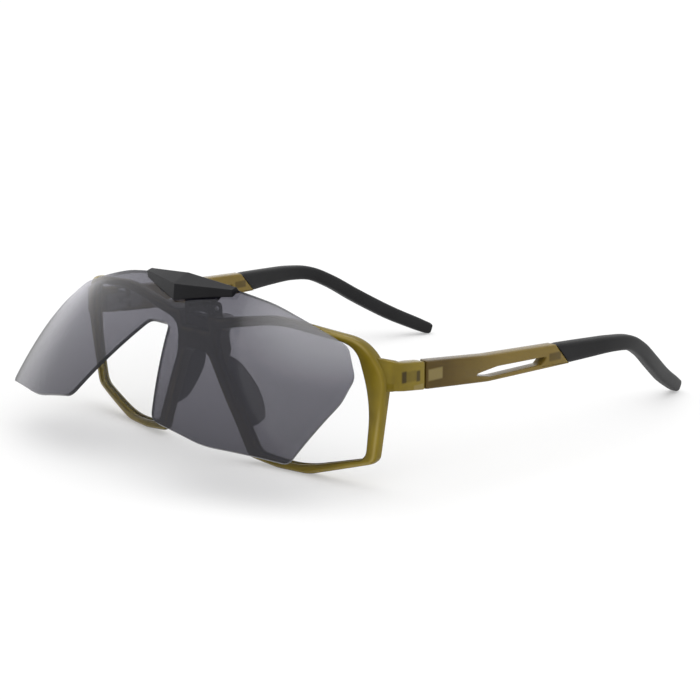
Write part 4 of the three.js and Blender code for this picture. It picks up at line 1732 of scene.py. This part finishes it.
    def sleeve(self) -> Piece:
        """Builds the left sleeve.

        Returns:
            The sleeve.
        """
        half = (self.hinge.arm_thickness + 2 * self.sleeve_proud) / 2
        angles = np.linspace(0.0, 2 * math.pi, self.sleeve_sides, endpoint=False)
        shares = np.linspace(self.sleeve_start, 1.0, self.sleeve_rings)
        points = [self.line(share)[0] for share in shares]
        lengths = np.concatenate([[0.0], np.cumsum(np.linalg.norm(np.diff(points, axis=0), axis=1))])
        rings = []
        for share, done in zip(shares, lengths):
            middle, height = self.line(share)
            ahead = self.line(min(share + self.probe, 1.0))[0] - self.line(max(share - self.probe, 0.0))[0]
            up = np.array([0.0, -ahead[2], ahead[1]]) / math.hypot(ahead[1], ahead[2])
            size = tip_share((lengths[-1] - done) / self.tip_round, self.least_tip)
            if done < TINY:
                size = 1 - self.sleeve_lip / height
            across = np.outer(self.squared(np.cos(angles)) * half * size, (1.0, 0.0, 0.0))
            rise = np.outer(self.squared(np.sin(angles)) * height / 2 * size, up)
            ring = middle + across + rise
            fade = max(0.0, 1 - done / self.slant_reach) ** 2
            ring[:, 1] -= 2 * self.slant * fade * (ring[:, 2] - middle[2]) / height
            rings.append(ring)
        piece, _ = Bench.skin("temple_tip_left_form", rings, Ends.CAPPED)
        Bench.tidy(piece, self.sleeve_crease)
        return piece

    def build(self) -> None:
        """Builds and dresses both arms and both sleeves."""
        arm, sleeve = self.arm(), self.sleeve()
        finish_pair(arm, OLIVE_ARM, "temple_{side}", "temple_arm")
        finish_pair(sleeve, RUBBER, "temple_{side}", "temple_tip")


@dataclass
class SunShield:
    """The tinted sheet with its wedge-shaped cover, turned about the flip axis.

    The cover's top, crest and foot are heights at its middle and at its ends, and so is its rise.
    """

    box: LensBox
    radius: float = 146.2
    thickness: float = 1.2
    standoff: float = 6.6
    middle_z: float = -20.1
    angle: float = 45.8
    notch_z: float = -13.4
    below_lens: float = 3.2
    flip_level: float = 0.4
    step: float = 0.9
    edge_round: float = 0.22
    crease: float = 50.0
    centre: Span = (31.0, -11.0)
    shares: tuple[float, ...] = (1.0, 0.99, 0.95, 0.86, 0.72, 0.54, 0.34, 0.15, 0.03)
    cover_half: float = 19.2
    cover_columns: int = 24
    cover_gap: float = 0.15
    cover_top: Span = (3.6, 3.6)
    cover_crest: Span = (-2.2, 1.9)
    cover_foot: Span = (-5.8, 0.7)
    cover_rise: Span = (3.7, 2.1)
    cover_top_share: float = 0.7
    cover_edge: float = 0.35
    cover_round: float = 0.32
    cover_round_faces: int = 3
    cover_fold: float = 16.0
    cover_crease: float = 20.0
    cover_smooth: float = 30.0

    def front(self, x: np.ndarray, z: np.ndarray) -> np.ndarray:
        """Y of the sheet's front face, from the flip axis.

        Args:
            x: distance from the middle.
            z: height above the flip axis, before the sheet is turned.

        Returns:
            The y.
        """
        notch = fall_back(self.radius, self.notch_z - self.middle_z)
        wrap = fall_back(self.radius, self.box.outer_x) - fall_back(self.box.wrap_radius, self.box.outer_x)
        fall = fall_back(self.radius, np.hypot(x, z - self.middle_z))
        return fall - notch - self.standoff - wrap

    def turned(self, points: np.ndarray) -> np.ndarray:
        """Turns points to the shield's lean and puts them on the flip axis.

        Args:
            points: points from the flip axis, one row each.

        Returns:
            The points in the bridge's frame.
        """
        lean = math.radians(self.angle)
        x, y, z = points.T
        flip_z = self.box.high_z + self.flip_level
        back = y * math.cos(lean) + z * math.sin(lean) + FLIP_BEHIND_BRIDGE
        return np.column_stack([x, back, z * math.cos(lean) - y * math.sin(lean) + flip_z])

    def outline(self) -> Outline:
        """Draws the left half of the sheet.

        Returns:
            Its outline.
        """
        nose, outer, foot = self.box.nose_x, self.box.outer_x, -self.box.height - self.below_lens
        return Outline(
            [
                Corner(0.0, 3.7),
                Corner(nose + 24.4, 3.2, 60),
                Corner(outer - 3.5, -0.2, 5),
                Corner(outer + 2.9, -7.6, 6),
                Corner(outer + 3.8, -16.1, 15),
                Corner(outer, foot + 5.4, 2.8),
                Corner(nose + 29.4, foot, 30),
                Corner(nose + 10.2, foot + 1.2, 4.5),
                Corner(nose - 4.1, self.notch_z, 3.2),
                Corner(0.0, self.notch_z),
            ]
        )

    def sheet(self) -> None:
        """Builds and dresses the tinted sheet."""
        outline = self.outline()
        loop = outline.sample(outline.knots, outline.counts(self.step))
        middle = np.array(self.centre)
        rings = []
        for share in self.shares:
            u, v = (middle + (loop - middle) * share).T
            rings.append(self.turned(np.column_stack([u, self.front(u, v) + self.thickness / 2, v])))
        piece, _ = Bench.skin("sun_shield_form", rings, Ends.SHEET)
        Bench.complete(piece)
        piece.data.materials.append(SMOKE_LENS.material())
        piece.data.materials.append(SMOKE_EDGE.material())
        Bench.modifier(
            piece, "SOLIDIFY", thickness=self.thickness * MM, offset=0.0, material_offset_rim=1
        )
        Bench.soften(piece, self.edge_round, self.crease)
        Bench.tidy(piece, self.crease)
        finish_piece(piece, [SMOKE_LENS, SMOKE_EDGE], "shield", "sun_shield")

    def ridge(self, levels: Span, part: float, share: float) -> float:
        """Y of a straight ridge of the cover.

        Args:
            levels: heights of the ridge at the cover's middle and at its end.
            part: part of the cover's rise that the ridge stands out.
            share: share of the way from the middle to the end.

        Returns:
            The y.
        """
        stops = zip((0.0, self.cover_half), levels, self.cover_rise)
        ends = [self.front(x, z) - rise * part for x, z, rise in stops]
        return along(ends, share) - self.cover_gap

    def cover(self) -> None:
        """Builds and dresses the wedge over the hinge, with straight ridges and a foot along the sheet."""
        rings = []
        for side in np.linspace(-1.0, 1.0, self.cover_columns + 1):
            x, share = side * self.cover_half, abs(side)
            levels = (self.cover_top, self.cover_crest, self.cover_foot)
            top, crest, foot = (along(level, share) for level in levels)
            seat_top, seat_foot = (self.front(x, z) - self.cover_gap for z in (top, foot))
            ring = [
                (x, seat_top, top),
                (x, self.ridge(self.cover_top, self.cover_top_share, share), top),
                (x, self.ridge(self.cover_crest, 1.0, share), crest),
                (x, seat_foot - self.cover_edge, foot),
                (x, seat_foot, foot),
            ]
            rings.append(self.turned(np.array(ring, dtype=float)))
        piece, _ = Bench.skin("flip_cover_form", rings, Ends.CAPPED)
        Bench.tidy(piece, self.cover_crease)
        Bench.soften(piece, self.cover_round, self.cover_fold, self.cover_round_faces)
        Bench.tidy(piece, self.cover_smooth)
        finish_piece(piece, [BLACK_PLASTIC], "shield", "flip_cover")

    def build(self) -> None:
        """Builds the sheet and its cover."""
        self.sheet()
        self.cover()


@dataclass
class SmallHardware:
    """Clip, hinge leaves, pins and magnets: copies of the solids with their edges broken.

    Rows are (node, body, finish, width of the broken edges), where a pair's node has no side yet.
    """

    singles: tuple[tuple[str, str, Finish, float], ...] = (
        ("clip_mount", "clip", BLACK_PLASTIC, 0.25),
        ("flip_bracket", "shield", BLACK_PLASTIC, 0.22),
        ("flip_pin", "clip", STEEL, 0.15),
        ("friction_spring", "clip", STEEL, 0.08),
    )
    pairs: tuple[tuple[str, str, Finish, float], ...] = (
        ("front_hinge_leaf", "front", DARK_STEEL, 0.12),
        ("temple_hinge_leaf", "temple_{side}", DARK_STEEL, 0.12),
        ("hinge_screw", "front", STEEL, 0.12),
        ("shield_screw", "shield", STEEL, 0.12),
        ("bridge_magnet", "front", NICKEL, 0.2),
        ("clip_magnet", "clip", NICKEL, 0.2),
    )
    flat: float = 2.0
    fold: float = 40.0
    crease: float = 30.0

    def copy(self, node: str, width: float) -> Piece:
        """Copies a solid and breaks its edges.

        Args:
            node: the solid's node.
            width: width of the broken edges.

        Returns:
            The copy.
        """
        piece = bpy.data.objects.new(f"{node}_form", frame["nodes"][node].data.copy())
        bpy.context.scene.collection.objects.link(piece)
        Bench.edit_all(piece)
        bpy.ops.mesh.remove_doubles(threshold=TINY)
        bpy.ops.mesh.dissolve_limited(angle_limit=math.radians(self.flat))
        Bench.done()
        Bench.soften(piece, width, self.fold)
        Bench.tidy(piece, self.crease)
        return piece

    def build(self) -> None:
        """Builds and dresses every small piece."""
        rows = list(self.singles)
        for kind, body, look, width in self.pairs:
            rows += [(f"{kind}_{side}", body.format(side=side), look, width) for side in SIDES]
        for node, body, look, width in rows:
            finish_piece(self.copy(node, width), [look], body, node)
        for side in SIDES:
            STEEL.dress(frame["nodes"][f"temple_core_{side}"])


# Studio


@dataclass
class Studio:
    """Floor, light and camera.

    Gloss mirrors a ceiling, seen within ceiling_reach of the way to it, and a bright side wall
    on the wearer's right, up to side_top.
    """

    azimuth: float = 45.92
    elevation: float = 13.89
    distance: float = 661.9
    focal_pixels: float = 2201.35
    image_pixels: float = 700.0
    sensor: float = 36.0
    clip: Span = (0.01, 100.0)
    target: tuple[float, float, float] = (23.65, 40.0, 28.08)
    ambient: float = 0.78
    ceiling: float = 6.3
    ceiling_way: tuple[float, float, float] = (-0.16, -0.02, 0.985)
    ceiling_reach: Span = (0.9, 1.0)
    side: float = 0.6
    side_reach: Span = (0.6, 0.85)
    side_top: Span = (0.1, 0.27)
    lamp_power: float = 1.12
    lamp_spread: float = 100.0
    lamp_way: tuple[float, float, float] = (-0.3, -0.15, -1.0)
    floor_glow: float = 0.35
    floor_size: float = 14.0
    floor_squares: int = 8
    floor_drop: float = 0.05
    paper: Colour = (0.97, 0.97, 0.97, 1.0)

    def camera(self) -> None:
        """Sets the camera at the photograph's angle."""
        turn, lift = math.radians(self.azimuth), math.radians(self.elevation)
        back = Vector((math.sin(turn) * math.cos(lift), -math.cos(turn) * math.cos(lift), math.sin(lift)))
        right = Vector((math.cos(turn), math.sin(turn), 0.0))
        target = Vector(to_metres(np.array([self.target]))[0])
        data = bpy.data.cameras.new("photo_camera")
        data.sensor_width = data.sensor_height = self.sensor
        data.lens = self.focal_pixels / self.image_pixels * self.sensor
        data.clip_start, data.clip_end = self.clip
        camera = bpy.data.objects.new("photo_camera", data)
        turned = Matrix((right, back.cross(right), back)).transposed().to_4x4()
        camera.matrix_world = Matrix.Translation(target + back * self.distance * MM) @ turned
        bpy.context.scene.collection.objects.link(camera)
        bpy.context.scene.camera = camera

    @staticmethod
    def seen(sheet: NodeSheet) -> Signal:
        """Tells the rays that show the background: from the camera, mirrored or let through.

        Args:
            sheet: the sheet that it is used on.

        Returns:
            1 for these rays and 0 for others.
        """
        path = sheet.node("LightPath")
        camera, mirrored, let_through = (
            Signal(sheet, path.outputs[f"Is {kind} Ray"]) for kind in ("Camera", "Glossy", "Transmission")
        )
        return sheet.maths("MINIMUM", camera + mirrored + let_through, 1.0)

    def floor(self) -> None:
        """Lays the pale floor, a hair under the pieces that stand on it."""
        Bench.clear()
        bpy.ops.mesh.primitive_grid_add(
            x_subdivisions=self.floor_squares, y_subdivisions=self.floor_squares, size=self.floor_size
        )
        floor = bpy.context.object
        floor.name = "floor"
        Bench.edit_all(floor)
        bpy.ops.transform.translate(value=(0.0, 0.0, -self.floor_drop * MM))
        Bench.done()
        material = bpy.data.materials.new("white_sweep")
        material.use_nodes = True
        sheet = NodeSheet(material.node_tree)
        paper = sheet.node("BsdfDiffuse", sockets={"Color": self.paper})
        glow = sheet.node("Emission", sockets={"Color": WHITE, "Strength": 1.0})
        layers = {0: self.seen(sheet) * self.floor_glow, 1: paper.outputs[0], 2: glow.outputs[0]}
        mixed = sheet.node("MixShader", sockets=layers)
        sheet.node("OutputMaterial", sockets={"Surface": mixed.outputs[0]})
        floor.data.materials.append(material)

    def surround(self) -> None:
        """Puts a white surround about the scene, with the ceiling and the side wall that gloss mirrors."""
        world = bpy.data.worlds.new("white_surround")
        world.use_nodes = True
        sheet = NodeSheet(world.node_tree)
        way = sheet.node("TexCoord").outputs["Generated"]
        across, _, height = sheet.apart(way)
        mirrored = Signal(sheet, sheet.node("LightPath").outputs["Is Glossy Ray"])
        towards = sheet.node("VectorMath", {"operation": "DOT_PRODUCT"}, {0: way, 1: self.ceiling_way})
        ceiling = sheet.rise(Signal(sheet, towards.outputs["Value"]), *self.ceiling_reach)
        side = sheet.rise(across * -1.0, *self.side_reach) * (1 - sheet.rise(height, *self.side_top))
        level = sheet.maths("MAXIMUM", self.seen(sheet), self.ambient)
        level = level + mirrored * (ceiling * self.ceiling + side * self.side)
        sky = sheet.node("Background", sockets={"Color": WHITE, "Strength": level})
        sheet.node("OutputWorld", sockets={"Surface": sky.outputs[0]})
        bpy.context.scene.world = world

    def lamp(self) -> None:
        """Hangs a broad lamp over the scene."""
        data = bpy.data.lights.new("broad_lamp", "SUN")
        data.energy = self.lamp_power
        data.angle = math.radians(self.lamp_spread)
        lamp = bpy.data.objects.new("broad_lamp", data)
        lamp.matrix_world = Vector(self.lamp_way).to_track_quat("-Z", "Y").to_matrix().to_4x4()
        bpy.context.scene.collection.objects.link(lamp)

    def build(self) -> None:
        """Sets up the camera, the floor and the light."""
        self.camera()
        self.floor()
        self.surround()
        self.lamp()
        bpy.context.scene.view_settings.view_transform = "Standard"


def main() -> None:
    """Builds the looks in order."""
    Studio().build()
    box = LensBox()
    hinge = HingeLine(box)
    front = FrontFrame(box, hinge)
    assemblies = (front, Lens(front), NosePad(front), Temple(hinge), SunShield(box), SmallHardware())
    for assembly in assemblies:
        assembly.build()


if __name__ == "__main__":
    main()
